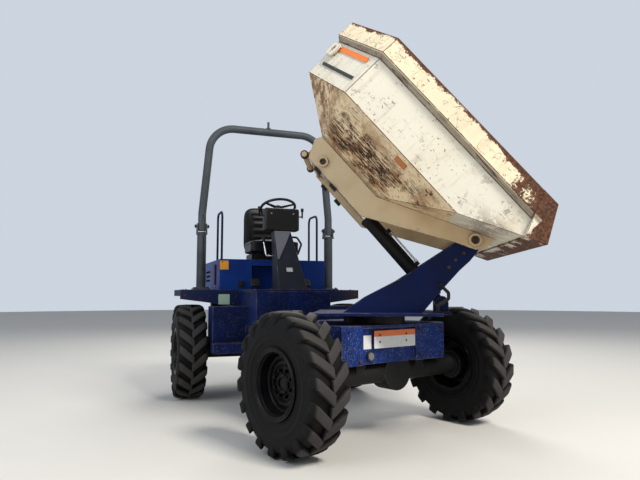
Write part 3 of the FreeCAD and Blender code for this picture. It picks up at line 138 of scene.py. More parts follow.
class Recipe:
    """Builds the node tree of one material."""

    def __init__(self, name: str, owner: bpy.types.ID | None = None) -> None:
        """Start an empty material, or the nodes of another owner.

        Args:
            name: the material's name.
            owner: a world or light to build on instead.
        """
        self.material = owner or bpy.data.materials.new(name)
        self.material.use_nodes = True
        self.tree = self.material.node_tree
        self.tree.nodes.clear()
        self.coords = self.node("ShaderNodeTexCoord", {}, {}, "Object")

    def node(self, kind: str, settings: dict, sockets: dict, output: int | str | None = 0) -> "Signal | None":
        """Add a node, its settings first and its sockets after.

        Args:
            kind: the node's type.
            settings: attributes by name, with a ramp's stops under "stops".
            sockets: values or signals by the input's name or number.
            output: name or number of the output that is wanted, or None.
        Returns:
            That output, if any.
        """
        made = self.tree.nodes.new(kind)
        for key, value in settings.items():
            if key == "stops":
                ramp = made.color_ramp.elements
                while len(ramp) < len(value):
                    ramp.new(0.5)
                for element, (position, colour) in zip(ramp, value):
                    element.position = position
                    element.color = colour
            else:
                setattr(made, key, value)
        for key, value in sockets.items():
            if isinstance(value, Signal):
                self.tree.links.new(value.socket, made.inputs[key])
            else:
                made.inputs[key].default_value = value
        return None if output is None else Signal(self, made.outputs[output])

    def mapped(self, at: "Datum | None" = None, stretch: Triple = (1, 1, 1),
               turn: Triple = (0, 0, 0)) -> Signal:
        """Object coordinates as seen from a body's own axes.

        Args:
            at: the body's datum, or None for the row's own frame.
            stretch: factor on each axis after the turn.
            turn: a further turn in radians.
        Returns:
            The coordinates.
        """
        point = self.coords
        if at is not None:
            inverse = at.matrix.inverted()
            point = self.node("ShaderNodeMapping", {"vector_type": "POINT"}, {
                "Vector": point, "Location": inverse.to_translation(), "Rotation": inverse.to_euler("XYZ")}, "Vector")
        if stretch != (1, 1, 1) or turn != (0, 0, 0):
            point = self.node("ShaderNodeMapping", {"vector_type": "POINT"},
                              {"Vector": point, "Scale": stretch, "Rotation": turn}, "Vector")
        return point

    def split(self, point: Signal) -> tuple[Signal, Signal, Signal]:
        """The three values of a vector."""
        first = self.node("ShaderNodeSeparateXYZ", {}, {"Vector": point}, "X")
        outs = first.socket.node.outputs
        return first, Signal(self, outs["Y"]), Signal(self, outs["Z"])

    def noise(self, at: Signal, scale: float, detail: float = 4.0, rough: float = 0.55,
              warp: float = 0.0) -> Signal:
        """Noise from 0 to 1 about a half.

        Args:
            at: coordinates.
            scale: waves to the metre.
            detail: octaves.
            rough: share of each finer octave.
            warp: distortion.
        Returns:
            The value.
        """
        return self.node("ShaderNodeTexNoise", {}, {"Vector": at, "Scale": scale, "Detail": detail,
                                                    "Roughness": rough, "Distortion": warp}, "Fac")

    def cells(self, at: Signal, scale: float, feature: str = "F1") -> Signal:
        """Distance in a cell pattern."""
        return self.node("ShaderNodeTexVoronoi", {"feature": feature}, {"Vector": at, "Scale": scale}, "Distance")

    def mix(self, factor: Signal | float, under: Signal | Colour, over: Signal | Colour,
            mode: str = "MIX") -> Signal:
        """Lay one colour over another.

        Args:
            factor: how much of the upper colour shows.
            under: lower colour.
            over: upper colour.
            mode: Blender's blend type.
        Returns:
            The mixed colour.
        """
        return self.node("ShaderNodeMix", {"data_type": "RGBA", "blend_type": mode, "clamp_factor": True},
                         {0: factor, 6: under, 7: over}, 2)

    def line(self, at: Signal, scale: float, width: float, warp: float = 0.0) -> Signal:
        """Thin wandering lines: where a noise crosses its middle.

        Args:
            at: coordinates.
            scale: waves to the metre.
            width: how thick the lines are, as a share of the noise's rise.
            warp: distortion.
        Returns:
            1 on the lines.
        """
        return abs(self.noise(at, scale, 3.0, 0.6, warp) - 0.5).step(width, width * 0.4)

    def edge(self) -> Signal:
        """1 on the eased edges of a dressed solid."""
        return self.node("ShaderNodeAttribute", {"attribute_name": "edge"}, {}, "Fac")

    def upward(self) -> Signal:
        """The upward part of the surface's direction."""
        normal = self.node("ShaderNodeNewGeometry", {}, {}, "Normal")
        return self.split(normal)[2]

    def finish(self, colour: Signal | Colour, roughness: Signal | float, metallic: Signal | float = 0.0,
               height: Signal | None = None, depth: float = 0.001, **fixed: float) -> bpy.types.Material:
        """Close the tree with a principled shader.

        Args:
            colour: base colour.
            roughness: roughness.
            metallic: metallic.
            height: relief from 0 to 1.
            depth: metres that a relief of 1 stands for.
            fixed: other sockets by their names with spaces as underscores, numbers only.
        Returns:
            The finished material.
        """
        sockets = {"Base Color": colour, "Roughness": roughness, "Metallic": metallic}
        sockets.update({key.replace("_", " "): value for key, value in fixed.items()})
        if height is not None:
            sockets["Normal"] = self.node("ShaderNodeBump", {}, {"Strength": 1.0, "Distance": depth,
                                                                 "Height": height}, "Normal")
        shader = self.node("ShaderNodeBsdfPrincipled", {}, sockets, "BSDF")
        self.node("ShaderNodeOutputMaterial", {}, {"Surface": shader}, None)
        return self.material


class Datum:
    """A body's own axes at rest: where a sub-assembly is drawn from."""

    def __init__(self, origin: Vector, forward: Vector, left: Vector) -> None:
        """Keep the origin and the three directions.

        Args:
            origin: the datum's origin in the row frame.
            forward: its x direction.
            left: its y direction.
        """
        up = forward.cross(left).normalized()
        self.matrix = Matrix.Translation(origin) @ Matrix((forward, left, up)).transposed().to_4x4()

    def at(self, x: float, y: float, z: float) -> Vector:
        """A point of the body in the row frame."""
        return self.matrix @ Vector((x, y, z))

    def along(self, x: float, y: float, z: float) -> Vector:
        """A direction of the body in the row frame."""
        return self.matrix.to_3x3() @ Vector((x, y, z))


def joint(name: str) -> dict:
    """A joint of the frame by name."""
    return next(j for j in frame["joints"] if j["name"] == name)


AHEAD = Vector((1, 0, 0))
LEFT = Vector((0, 1, 0))
UP = Vector((0, 0, 1))
PIVOT = Vector(joint("articulated_steering")["pos_m"])
PIVOT.z = 0.0
SLEW = Vector(joint("skip_slew")["pos_m"])
SLEW.z = 0.0
TIP = Vector(joint("skip_tip")["pos_m"])
TIP_LEFT = Vector(joint("skip_tip")["axis"])
TIP_ANGLE = -math.radians(joint("skip_tip")["range_deg"][0])
TABLE_AHEAD = TIP_LEFT.cross(UP)
FRONT_LEFT = Vector(joint("front_right_roll")["axis"])
REAR = Datum(PIVOT, AHEAD, LEFT)
FRONT = Datum(PIVOT, FRONT_LEFT.cross(UP), FRONT_LEFT)
TABLE = Datum(SLEW, TABLE_AHEAD, TIP_LEFT)
SKIP = Datum(TIP, TABLE_AHEAD * math.cos(TIP_ANGLE) - UP * math.sin(TIP_ANGLE), TIP_LEFT)
RAM_AHEAD = Vector(joint("ram_extension")["axis"])
RAM = Datum(Vector(joint("ram_swing")["pos_m"]), RAM_AHEAD, TIP_LEFT)
CANT = (-0.704, -0.704, -0.0957)  # outward from the skip's right rear corner, in the skip's axes


DUST = rgb(0.20, 0.15, 0.10)
RUST = rgb(0.15, 0.050, 0.018)
DARK_RUST = rgb(0.030, 0.012, 0.007)
BARE = rgb(0.13, 0.12, 0.12)


@dataclass(frozen=True)
class Enamel:
    """Sprayed paint on plate, with chipped edges, rust, scratches and settled dust."""

    colour: Colour
    shade: Colour
    gloss: float = 0.38
    chips: float = 0.5
    rust: float = 0.25
    dust: float = 0.35
    speckle: float = 0.0
    pale: Colour = rgb(0.20, 0.26, 0.38)
    shine: float = 0.16

    def build(self, name: str) -> bpy.types.Material:
        """The material of that name."""
        r = Recipe(name)
        at = r.mapped()
        broad = r.noise(at, 2.6, 3.0)
        patch = r.noise(at, 14.0, 5.0, 0.6)
        fine = r.noise(at, 70.0, 5.0, 0.65)
        colour = r.mix(broad.step(0.38, 0.68), self.colour, self.shade)
        streak = r.noise(r.mapped(stretch=(14.0, 14.0, 1.6)), 3.0, 5.0, 0.6)
        colour = r.mix(streak.step(0.52, 0.75) * 0.35, colour, self.shade)
        if self.speckle:
            dots = r.noise(at, 120.0, 4.0, 0.75).step(0.57, 0.62) * patch.step(0.36, 0.54)
            rub = r.noise(r.mapped(stretch=(8.0, 8.0, 70.0)), 1.0, 5.0, 0.7).step(0.60, 0.66) * broad.step(0.4, 0.6)
            colour = r.mix((dots | (rub * 0.7)) * self.speckle, colour, self.pale)
        dust = r.upward().step(0.25, 0.95) * (0.45 + patch * 0.7)
        colour = r.mix(dust * self.dust, colour, DUST)
        bleed = (patch.step(0.66 - 0.12 * self.rust, 0.76) * fine.step(0.40, 0.62)) * min(1.0, self.rust * 2.0)
        worn = r.edge() * (patch * 0.6 + fine * 0.6).step(0.72 - 0.3 * self.chips, 0.86 - 0.26 * self.chips)
        rust = r.mix(fine.step(0.35, 0.7), DARK_RUST, RUST)
        colour = r.mix(bleed, colour, rust)
        colour = r.mix(worn, colour, r.mix(patch.step(0.4, 0.6), rust, BARE))
        rough = (self.gloss + patch * 0.16 + dust * 0.3) | (bleed * 0.85) | (worn * 0.6)
        relief = fine * 0.25 + (1 - (bleed | worn)) * 0.6 + broad * 0.2
        return r.finish(colour, rough, worn * 0.35, relief, 0.0006, Specular_IOR_Level=self.shine)


@dataclass(frozen=True)
class SkipEnamel:
    """The skip's cream paint: cracked, scraped and spotted, rusty at its brim, with a tan of painted shade and warm
    bounce light below its ridge and a dark strip of painted shade on the ledge under its band.
    """

    cream: Colour = rgb(0.78, 0.67, 0.47)
    white: Colour = rgb(0.72, 0.68, 0.57)
    # tan below the ridge: painted shade and warm bounce light of the downward-facing lower panels
    tan: Colour = rgb(0.76, 0.58, 0.34)
    # dark brown: painted shade on the ledge under the band's overhang; also darkens the floor's bottom edge
    dirt: Colour = rgb(0.20, 0.15, 0.09)
    ridge: float = -0.051
    band_low: float = 0.262
    brim: float = 0.391
    strip_x: float = 0.142
    ledge: Pair = (0.225, 0.240)
    floor: float = -0.262
    scraped: tuple[Pair, Pair] = ((-1.22, -0.36), (-0.268, -0.100))
    scraped_bare: tuple[Pair, Pair] = ((-1.18, -0.66), (-0.255, -0.135))
    washed: tuple[Pair, Pair] = ((-1.26, -0.30), (-0.285, -0.080))

    def build(self, name: str) -> bpy.types.Material:
        """The material of that name."""
        r = Recipe(name)
        at = r.mapped(SKIP)
        x, _, z = r.split(at)
        broad = r.noise(at, 2.2, 4.0)
        patch = r.noise(at, 9.0, 6.0, 0.62)
        fine = r.noise(at, 60.0, 6.0, 0.68)
        band = z.step(self.band_low - 0.006, self.band_low)
        ledge = z.step(*self.ledge) * (1 - band)
        low = (z + (patch - 0.5) * 0.015).step(self.ridge + 0.006, self.ridge - 0.006)
        front = x.step(-0.45, 0.15)
        rear = x.step(-1.10, -1.40)
        floor = z.step(self.floor, self.floor - 0.013)
        strip = x.step(self.strip_x - 0.003, self.strip_x)
        colour = r.mix(band | (broad.step(0.45, 0.75) * 0.4), self.white, self.cream)
        colour = r.mix(broad.step(0.35, 0.75) * 0.30, colour, rgb(0.56, 0.49, 0.36))
        # painted shade: the lower panels below the ridge turned tan for their shade and warm bounce light
        colour = r.mix(low * (0.60 + broad * 0.5), colour, self.tan)
        # painted shade: the ledge under the band's overhang darkened towards the dirt colour
        colour = r.mix(ledge * (0.55 + patch * 0.5), colour, self.dirt)
        # darker at the bottom edge of the floor
        colour = r.mix(floor * 0.7, colour, self.dirt)
        drips = r.noise(r.mapped(SKIP, (24.0, 24.0, 1.5)), 1.0, 5.0, 0.62)
        runs = drips.step(0.50, 0.64) * r.noise(at, 3.1, 3.0).step(0.36, 0.54) * (0.15 + rear * low * 0.9 + low * 0.2)
        cluster = x.band(*self.scraped[0], 0.15) * z.band(*self.scraped[1], 0.035)
        torn = r.noise(at, 24.0, 6.0, 0.75)
        strokes = [r.noise(r.mapped(SKIP, (8.0, 105.0, 105.0), (0.0, lean, 0.0)), 1.0, 4.0, 0.62)
                   for lean in (0.12, 0.42, -0.28)]
        zone = r.noise(at, 3.3, 4.0, 0.6)
        blots = r.noise(r.mapped(SKIP, (11.0, 27.0, 27.0), (0.1, 0.35, 0.0)), 1.0, 8.0, 0.76)
        core = x.band(*self.scraped_bare[0], 0.18) * z.band(*self.scraped_bare[1], 0.045)
        core = core * (zone * 0.5 + torn * 0.5).step(0.38, 0.56)
        heavy = (strokes[0] + core * 0.055).step(0.565, 0.575) | (strokes[1] + core * 0.050).step(0.580, 0.590)
        heavy = (heavy | (blots + core * 0.045).step(0.565, 0.573)) * (zone * 0.6 + torn * 0.4 + core * 0.10).step(
            0.45, 0.50)
        light = strokes[0].step(0.65, 0.68) | strokes[1].step(0.66, 0.69) | strokes[2].step(0.67, 0.70)
        light = light * (zone + low * 0.05 + front * 0.04).step(0.52, 0.60)
        marks = [r.noise(r.mapped(SKIP, (11.0, 130.0, 130.0), (0.2, lean, 0.1)), 1.0, 3.0, 0.6)
                 for lean in (0.20, -0.42)]
        thin = (marks[0].step(0.66, 0.69) | marks[1].step(0.68, 0.71)) * (zone + front * 0.06).step(0.46, 0.55)
        gouges = heavy * cluster | light * (low | 0.25) | thin
        splits = r.noise(at, 5.0, 3.0)
        along = r.mapped(SKIP, (2.2, 7.0, 7.0), (0.0, 0.12, 0.0))
        cracks = r.line(along, 1.0, 0.0060, 0.25) * splits.step(0.44, 0.54) * (0.10 + band * 0.8 + ledge)
        seams = r.line(r.mapped(SKIP, (1.2, 12.0, 16.0)), 1.0, 0.016, 0.3) * ledge
        cracks = cracks | seams | (r.line(at, 6.0, 0.009, 0.1) * splits.step(0.62, 0.54) * (band * 0.5 + front * 0.4))
        hairs = r.line(r.mapped(SKIP, (7.0, 16.0, 16.0), (0.3, 0.5, 0.2)), 1.0, 0.012, 0.2) * patch.step(0.58, 0.64)
        cell = r.noise(at, 46.0, 4.0, 0.7).step(0.625, 0.655) * r.noise(at, 5.0, 3.0).step(0.40, 0.56)
        large = patch.step(0.60, 0.645) * torn.step(0.46, 0.56) * (0.20 + low * 0.8 + front * 0.4)
        flaking = fine * 0.5 + patch * 0.6 + front * band * 0.28 + z.step(self.brim - 0.050, self.brim) * 0.26
        flakes = flaking.step(0.70, 0.75) * (band | front)
        under = z.step(0.19, 0.10)
        mouth = strip * (patch * 0.8 + fine * 0.5 - under * 0.16).step(0.48, 0.53) | (
            x.step(-0.25, 0.10) * z.step(0.14, 0.02) * (patch * 0.6 + fine * 0.5).step(0.50, 0.55))
        stain = rear * low * (patch * 0.5 + drips * 0.6).step(0.50, 0.57)
        rust = r.mix(fine.step(0.35, 0.65), DARK_RUST, rgb(0.15, 0.055, 0.024))
        colour = r.mix(runs, colour, rgb(0.24, 0.105, 0.034))
        soaked = r.mix(torn.step(0.48, 0.66), rgb(0.27, 0.115, 0.032), rgb(0.06, 0.026, 0.012))
        colour = r.mix(stain * 0.85, colour, soaked)
        wash = x.band(*self.washed[0], 0.20) * z.band(*self.washed[1], 0.050)
        wash = wash * (zone * 0.5 + patch * 0.5).step(0.45, 0.56)
        colour = r.mix((wash | (core * 0.8)) * (0.30 + torn * 0.75), colour, rgb(0.32, 0.130, 0.034))
        cut = r.mix(torn.step(0.46, 0.58), rgb(0.018, 0.010, 0.007), rgb(0.12, 0.045, 0.016))
        colour = r.mix(gouges, colour, cut)
        worn = r.edge() * (patch * 0.6 + fine * 0.6).step(0.44, 0.60)
        top = z.step(self.brim - 0.014, self.brim - 0.004)
        hurt = (cell * 0.9) | large | worn | flakes | mouth | top
        colour = r.mix(hurt, colour, rust)
        colour = r.mix((cracks | (hairs * 0.8)) * 0.9, colour, rgb(0.040, 0.026, 0.017))
        rough = 0.44 + patch * 0.2 + (hurt | gouges) * 0.3
        dented = r.noise(at, 4.0, 2.0)
        relief = (1 - (hurt | gouges | cracks)) * 0.35 + fine * 0.10 + dented * 1.4
        return r.finish(colour, rough, 0.0, relief, 0.0045, Specular_IOR_Level=0.35)


@dataclass(frozen=True)
class DirtySteel:
    """Cast or forged iron with oil, rust and road dirt."""

    colour: Colour = rgb(0.008, 0.006, 0.006)
    dirt: Colour = rgb(0.028, 0.019, 0.014)
    gloss: float = 0.5
    amount: float = 0.6

    def build(self, name: str) -> bpy.types.Material:
        """The material of that name."""
        r = Recipe(name)
        at = r.mapped()
        patch = r.noise(at, 8.0, 6.0, 0.6)
        fine = r.noise(at, 90.0, 5.0, 0.7)
        caked = patch.step(0.62 - 0.25 * self.amount, 0.72) * (0.6 + fine * 0.5)
        colour = r.mix(caked, self.colour, self.dirt)
        colour = r.mix(r.edge() * fine.step(0.45, 0.6) * 0.5, colour, BARE)
        return r.finish(colour, self.gloss + caked * 0.35, 0.15, fine * 0.5 + caked, 0.0012,
                        Specular_IOR_Level=0.2)


@dataclass(frozen=True)
class Scale:
    """Small steel gone brown: bolts, collars and brackets."""

    colour: Colour = rgb(0.085, 0.045, 0.026)
    dark: Colour = rgb(0.018, 0.012, 0.010)

    def build(self, name: str) -> bpy.types.Material:
        """The material of that name."""
        r = Recipe(name)
        at = r.mapped()
        grit = r.noise(at, 160.0, 5.0, 0.7)
        patch = r.noise(at, 35.0, 4.0)
        colour = r.mix(patch.step(0.35, 0.65), self.dark, self.colour)
        colour = r.mix(r.edge() * grit.step(0.5, 0.6) * 0.5, colour, BARE)
        return r.finish(colour, 0.55 + grit * 0.3, 0.2, grit, 0.0006, Specular_IOR_Level=0.3)


@dataclass(frozen=True)
class TyreRubber:
    """Tyre rubber, dusty in its valleys and scuffed on the lugs."""

    colour: Colour = rgb(0.0040, 0.0038, 0.0040)
    dirt: Colour = rgb(0.026, 0.021, 0.017)
    scuff: Colour = rgb(0.070, 0.064, 0.060)

    def build(self, name: str) -> bpy.types.Material:
        """The material of that name."""
        r = Recipe(name)
        at = r.mapped()
        patch = r.noise(at, 6.0, 5.0, 0.6)
        fine = r.noise(at, 110.0, 5.0, 0.7)
        low = r.node("ShaderNodeAttribute", {"attribute_name": "valley"}, {}, "Fac")
        worn = r.node("ShaderNodeAttribute", {"attribute_name": "worn"}, {}, "Fac")
        caked = (patch * 0.6 + fine * 0.5).step(0.50, 0.85) * (0.08 + low * 0.60)
        colour = r.mix(caked * 0.8, self.colour, self.dirt)
        colour = r.mix(worn * (0.25 + fine * 0.55) * (0.5 + patch), colour, self.scuff)
        rough = 0.60 + fine * 0.2 + caked * 0.15
        return r.finish(colour, rough, 0.0, fine * 0.6 + patch * 0.4, 0.0009, Specular_IOR_Level=0.16)


@dataclass(frozen=True)
class Plastic:
    """Moulded plastic or painted small metal with a fine grain."""

    colour: Colour = rgb(0.012, 0.012, 0.013)
    gloss: float = 0.45
    grain: float = 260.0
    dust: float = 0.20

    def build(self, name: str) -> bpy.types.Material:
        """The material of that name."""
        r = Recipe(name)
        at = r.mapped()
        grain = r.noise(at, self.grain, 2.0)
        patch = r.noise(at, 12.0, 4.0)
        film = r.upward().step(0.1, 0.9) * patch.step(0.3, 0.8) * self.dust
        colour = r.mix(film, self.colour, DUST)
        colour = r.mix(r.edge() * patch.step(0.4, 0.6) * 0.3, colour, rgb(0.06, 0.06, 0.06))
        return r.finish(colour, self.gloss + patch * 0.1 + film * 0.4, 0.0, grain, 0.0003,
                        Specular_IOR_Level=0.3)


@dataclass(frozen=True)
class Vinyl:
    """Seat vinyl: fine leather grain, a soft shine and light dust."""

    colour: Colour = rgb(0.0030, 0.0030, 0.0038)

    def build(self, name: str) -> bpy.types.Material:
        """The material of that name."""
        r = Recipe(name)
        at = r.mapped()
        grain = r.cells(at, 420.0, "SMOOTH_F1")
        patch = r.noise(at, 9.0, 4.0)
        film = r.upward().step(0.3, 1.0) * patch.step(0.35, 0.75) * 0.10
        colour = r.mix(film, self.colour, DUST)
        return r.finish(colour, 0.30 + patch * 0.14 + film, 0.0, grain, 0.0004, Specular_IOR_Level=0.2)


@dataclass(frozen=True)
class Bright:
    """Plated or polished steel."""

    colour: Colour = rgb(0.62, 0.62, 0.63)
    gloss: float = 0.16

    def build(self, name: str) -> bpy.types.Material:
        """The material of that name."""
        r = Recipe(name)
        at = r.mapped()
        rub = r.noise(r.mapped(stretch=(40.0, 40.0, 6.0)), 5.0, 4.0)
        patch = r.noise(at, 20.0, 4.0)
        colour = r.mix(patch.step(0.55, 0.8) * 0.5, self.colour, rgb(0.22, 0.18, 0.14))
        return r.finish(colour, self.gloss + rub * 0.15 + patch.step(0.5, 0.8) * 0.2, 1.0, rub, 0.0001)


@dataclass(frozen=True)
class Lens:
    """A moulded lamp lens or reflector with fine prisms."""

    colour: Colour

    def build(self, name: str) -> bpy.types.Material:
        """The material of that name."""
        r = Recipe(name)
        at = r.mapped()
        prism = r.cells(at, 190.0)
        dust = r.noise(at, 30.0, 4.0).step(0.5, 0.8)
        colour = r.mix(prism.step(0.1, 0.6) * 0.4, self.colour, rgb(*(c * 0.35 for c in self.colour[:3])))
        colour = r.mix(dust * 0.25, colour, DUST)
        return r.finish(colour, 0.16 + dust * 0.3, 0.0, prism, 0.0006, Coat_Weight=0.4)


@dataclass(frozen=True)
class Label:
    """A plain printed film or painted bar, worn through in places."""

    colour: Colour
    under: Colour = rgb(0.45, 0.40, 0.33)
    wear: float = 0.3

    def build(self, name: str) -> bpy.types.Material:
        """The material of that name."""
        r = Recipe(name)
        at = r.mapped()
        patch = r.noise(at, 30.0, 5.0, 0.65)
        fine = r.noise(at, 140.0, 4.0, 0.7)
        colour = r.mix(fine.step(0.35, 0.75) * 0.25, self.colour, rgb(*(c * 0.6 for c in self.colour[:3])))
        gone = (patch * 0.7 + fine * 0.4).step(0.76 - 0.25 * self.wear, 0.80 - 0.20 * self.wear)
        colour = r.mix(gone * 0.8, colour, self.under)
        return r.finish(colour, 0.42 + gone * 0.3, 0.0, 1 - gone, 0.0003, Specular_IOR_Level=0.35)


@dataclass(frozen=True)
class SignPaint:
    """A blank sign: pale face with a coloured band on its upper part."""

    datum_name: str
    split: float
    top: float
    face: Colour = rgb(0.66, 0.66, 0.66)
    stripe: Colour = rgb(0.72, 0.17, 0.03)
    grime: Colour = rgb(0.25, 0.20, 0.15)

    def build(self, name: str) -> bpy.types.Material:
        """The material of that name."""
        r = Recipe(name)
        at = r.mapped(DATUMS[self.datum_name])
        z = r.split(at)[2]
        patch = r.noise(at, 22.0, 5.0)
        colour = r.mix(z.band(self.split, self.top, 0.0008), self.face, self.stripe)
        grime = patch.step(0.5, 0.8) * 0.35
        colour = r.mix(grime, colour, self.grime)
        return r.finish(colour, 0.4 + grime * 0.4, 0.0, patch, 0.0003)


DATUMS = {"rear": REAR, "front": FRONT, "table": TABLE, "skip": SKIP, "ram": RAM}


class Coat(Enum):
    """Every finish on the machine."""

    BLUE_SUNLIT = "blue_paint"
    BLUE_WORN = "blue_paint_worn"
    BLUE_DARK = "blue_paint_dark"
    BLUE_SHADE = "blue_paint_rubbed_shaded"
    BLUE_SHADOWED = "blue_paint_shadowed"
    SKIP = "skip_paint"
    TAN = "underframe_paint"
    GREY = "hoop_paint"
    GREY_SOFT = "grey_moulding"
    BLACK = "black_paint"
    RIM = "rim_paint"
    IRON = "axle_iron"
    SCALE = "small_steel"
    NUTS = "hub_nuts"
    CAST = "engine_iron"
    AXLE = "axle_paint"
    CHARCOAL = "console_paint"
    CLEAR_DULL = "marker_lens"
    RED_DULL = "marker_paint"
    DECK = "deck_paint"
    TYRE = "tyre_rubber"
    RUBBER = "moulded_rubber"
    PLASTIC = "black_plastic"
    VINYL = "seat_vinyl"
    BRIGHT = "bright_steel"
    RED = "red_lens"
    AMBER = "amber_lens"
    SIGN = "sign_face"
    LABEL_AMBER = "amber_label"
    LABEL_GREEN = "green_label"
    LABEL_PALE = "pale_label"
    STRIPE_ORANGE = "orange_stripe"
    STRIPE_BLACK = "black_stripe"


FINISHES = {
    # brighter copy of the blue paint: painted sunlight on the housing and hood
    Coat.BLUE_SUNLIT: Enamel(rgb(0.004, 0.036, 0.225), rgb(0.003, 0.022, 0.140), dust=0.12),
    Coat.BLUE_WORN: Enamel(rgb(0.0025, 0.020, 0.140), rgb(0.002, 0.008, 0.060), 0.40, 0.9, 0.30, 0.14, 0.8),
    Coat.BLUE_DARK: Enamel(rgb(0.0015, 0.006, 0.040), rgb(0.0015, 0.004, 0.020), 0.45, 0.5, 0.20, 0.15),
    # darker copy of the blue paint: painted shade on the steps and rear chassis, with real rubbed speckle
    Coat.BLUE_SHADE: Enamel(rgb(0.002, 0.012, 0.085), rgb(0.0015, 0.006, 0.040), 0.42, 0.9, 0.30, 0.14, 0.30),
    # dark copy of the blue paint: painted shadow of the skip on the tower and slew table
    Coat.BLUE_SHADOWED: Enamel(rgb(0.0015, 0.008, 0.055), rgb(0.0015, 0.006, 0.036), 0.40, 0.5, 0.08, 0.06, shine=0.14),
    Coat.SKIP: SkipEnamel(),
    Coat.TAN: Enamel(rgb(0.58, 0.45, 0.28), rgb(0.48, 0.35, 0.20), 0.45, 0.7, 0.22, 0.10, shine=0.35),
    Coat.GREY: Enamel(rgb(0.060, 0.070, 0.082), rgb(0.040, 0.046, 0.052), 0.38, 0.4, 0.12, 0.15),
    Coat.GREY_SOFT: Plastic(rgb(0.19, 0.20, 0.22), 0.55, 180.0, 0.25),
    Coat.BLACK: Enamel(rgb(0.006, 0.006, 0.006), rgb(0.009, 0.008, 0.007), 0.34, 0.5, 0.12, 0.12),
    Coat.RIM: Enamel(rgb(0.0016, 0.0016, 0.0020), rgb(0.0026, 0.0022, 0.0022), 0.20, 0.2, 0.06, 0.02, shine=0.12),
    Coat.IRON: DirtySteel(),
    Coat.SCALE: Scale(),
    Coat.NUTS: Scale(rgb(0.035, 0.022, 0.016), rgb(0.010, 0.008, 0.007)),
    Coat.AXLE: DirtySteel(rgb(0.009, 0.009, 0.009), rgb(0.018, 0.014, 0.012), 0.62, 0.3),
    Coat.CHARCOAL: Enamel(rgb(0.022, 0.027, 0.040), rgb(0.013, 0.016, 0.026), 0.45, 0.5, 0.15, 0.10, shine=0.2),
    Coat.CAST: DirtySteel(rgb(0.05, 0.05, 0.05), rgb(0.06, 0.05, 0.04), 0.6, 0.4),
    Coat.DECK: Enamel(rgb(0.006, 0.016, 0.070), rgb(0.028, 0.017, 0.016), 0.6, 1.0, 0.8, 0.25),
    Coat.TYRE: TyreRubber(),
    Coat.RUBBER: Plastic(rgb(0.009, 0.009, 0.009), 0.55, 150.0, 0.3),
    Coat.PLASTIC: Plastic(),
    Coat.VINYL: Vinyl(),
    Coat.BRIGHT: Bright(),
    Coat.RED: Lens(rgb(0.20, 0.008, 0.008)),
    Coat.CLEAR_DULL: Lens(rgb(0.16, 0.17, 0.18)),
    Coat.RED_DULL: Enamel(rgb(0.075, 0.004, 0.004), rgb(0.040, 0.004, 0.004), 0.5, 0.4, 0.1, 0.05, shine=0.1),
    Coat.AMBER: Lens(rgb(0.55, 0.16, 0.015)),
    Coat.SIGN: SignPaint("front", 0.680, 0.722),
    Coat.LABEL_AMBER: Label(rgb(0.85, 0.36, 0.02), rgb(0.05, 0.04, 0.04)),
    Coat.LABEL_GREEN: Label(rgb(0.48, 0.66, 0.48), rgb(0.66, 0.68, 0.62), 0.5),
    Coat.LABEL_PALE: Label(rgb(0.70, 0.70, 0.68), rgb(0.20, 0.20, 0.22)),
    Coat.STRIPE_ORANGE: Label(rgb(0.85, 0.20, 0.035), rgb(0.75, 0.55, 0.42), 0.25),
    Coat.STRIPE_BLACK: Label(rgb(0.028, 0.026, 0.026), rgb(0.45, 0.40, 0.33), 0.35),
}


class Palette:
    """Makes each finish the first time that it is asked for."""

    made: dict[Coat, bpy.types.Material] = {}

    @classmethod
    def of(cls, coat: Coat) -> bpy.types.Material:
        """The material of a coat."""
        if coat not in cls.made:
            cls.made[coat] = FINISHES[coat].build(coat.value)
        return cls.made[coat]


def turned_to(direction: Vector) -> Matrix:
    """The rotation that takes +Z to a direction."""
    return direction.to_track_quat("Z", "Y").to_matrix().to_4x4()


def around(count: int, radius: float, across: Vector, up: Vector, start: float = 0.0) -> list[Vector]:
    """Offsets spaced evenly on a circle.

    Args:
        count: number of offsets.
        radius: the circle's radius.
        across: unit direction of the first one.
        up: unit direction a quarter turn on.
        start: where the first one is, in shares of the spacing.
    Returns:
        The offsets in order.
    """
    turns = [math.tau * (index + start) / count for index in range(count)]
    return [(across * math.cos(turn) + up * math.sin(turn)) * radius for turn in turns]


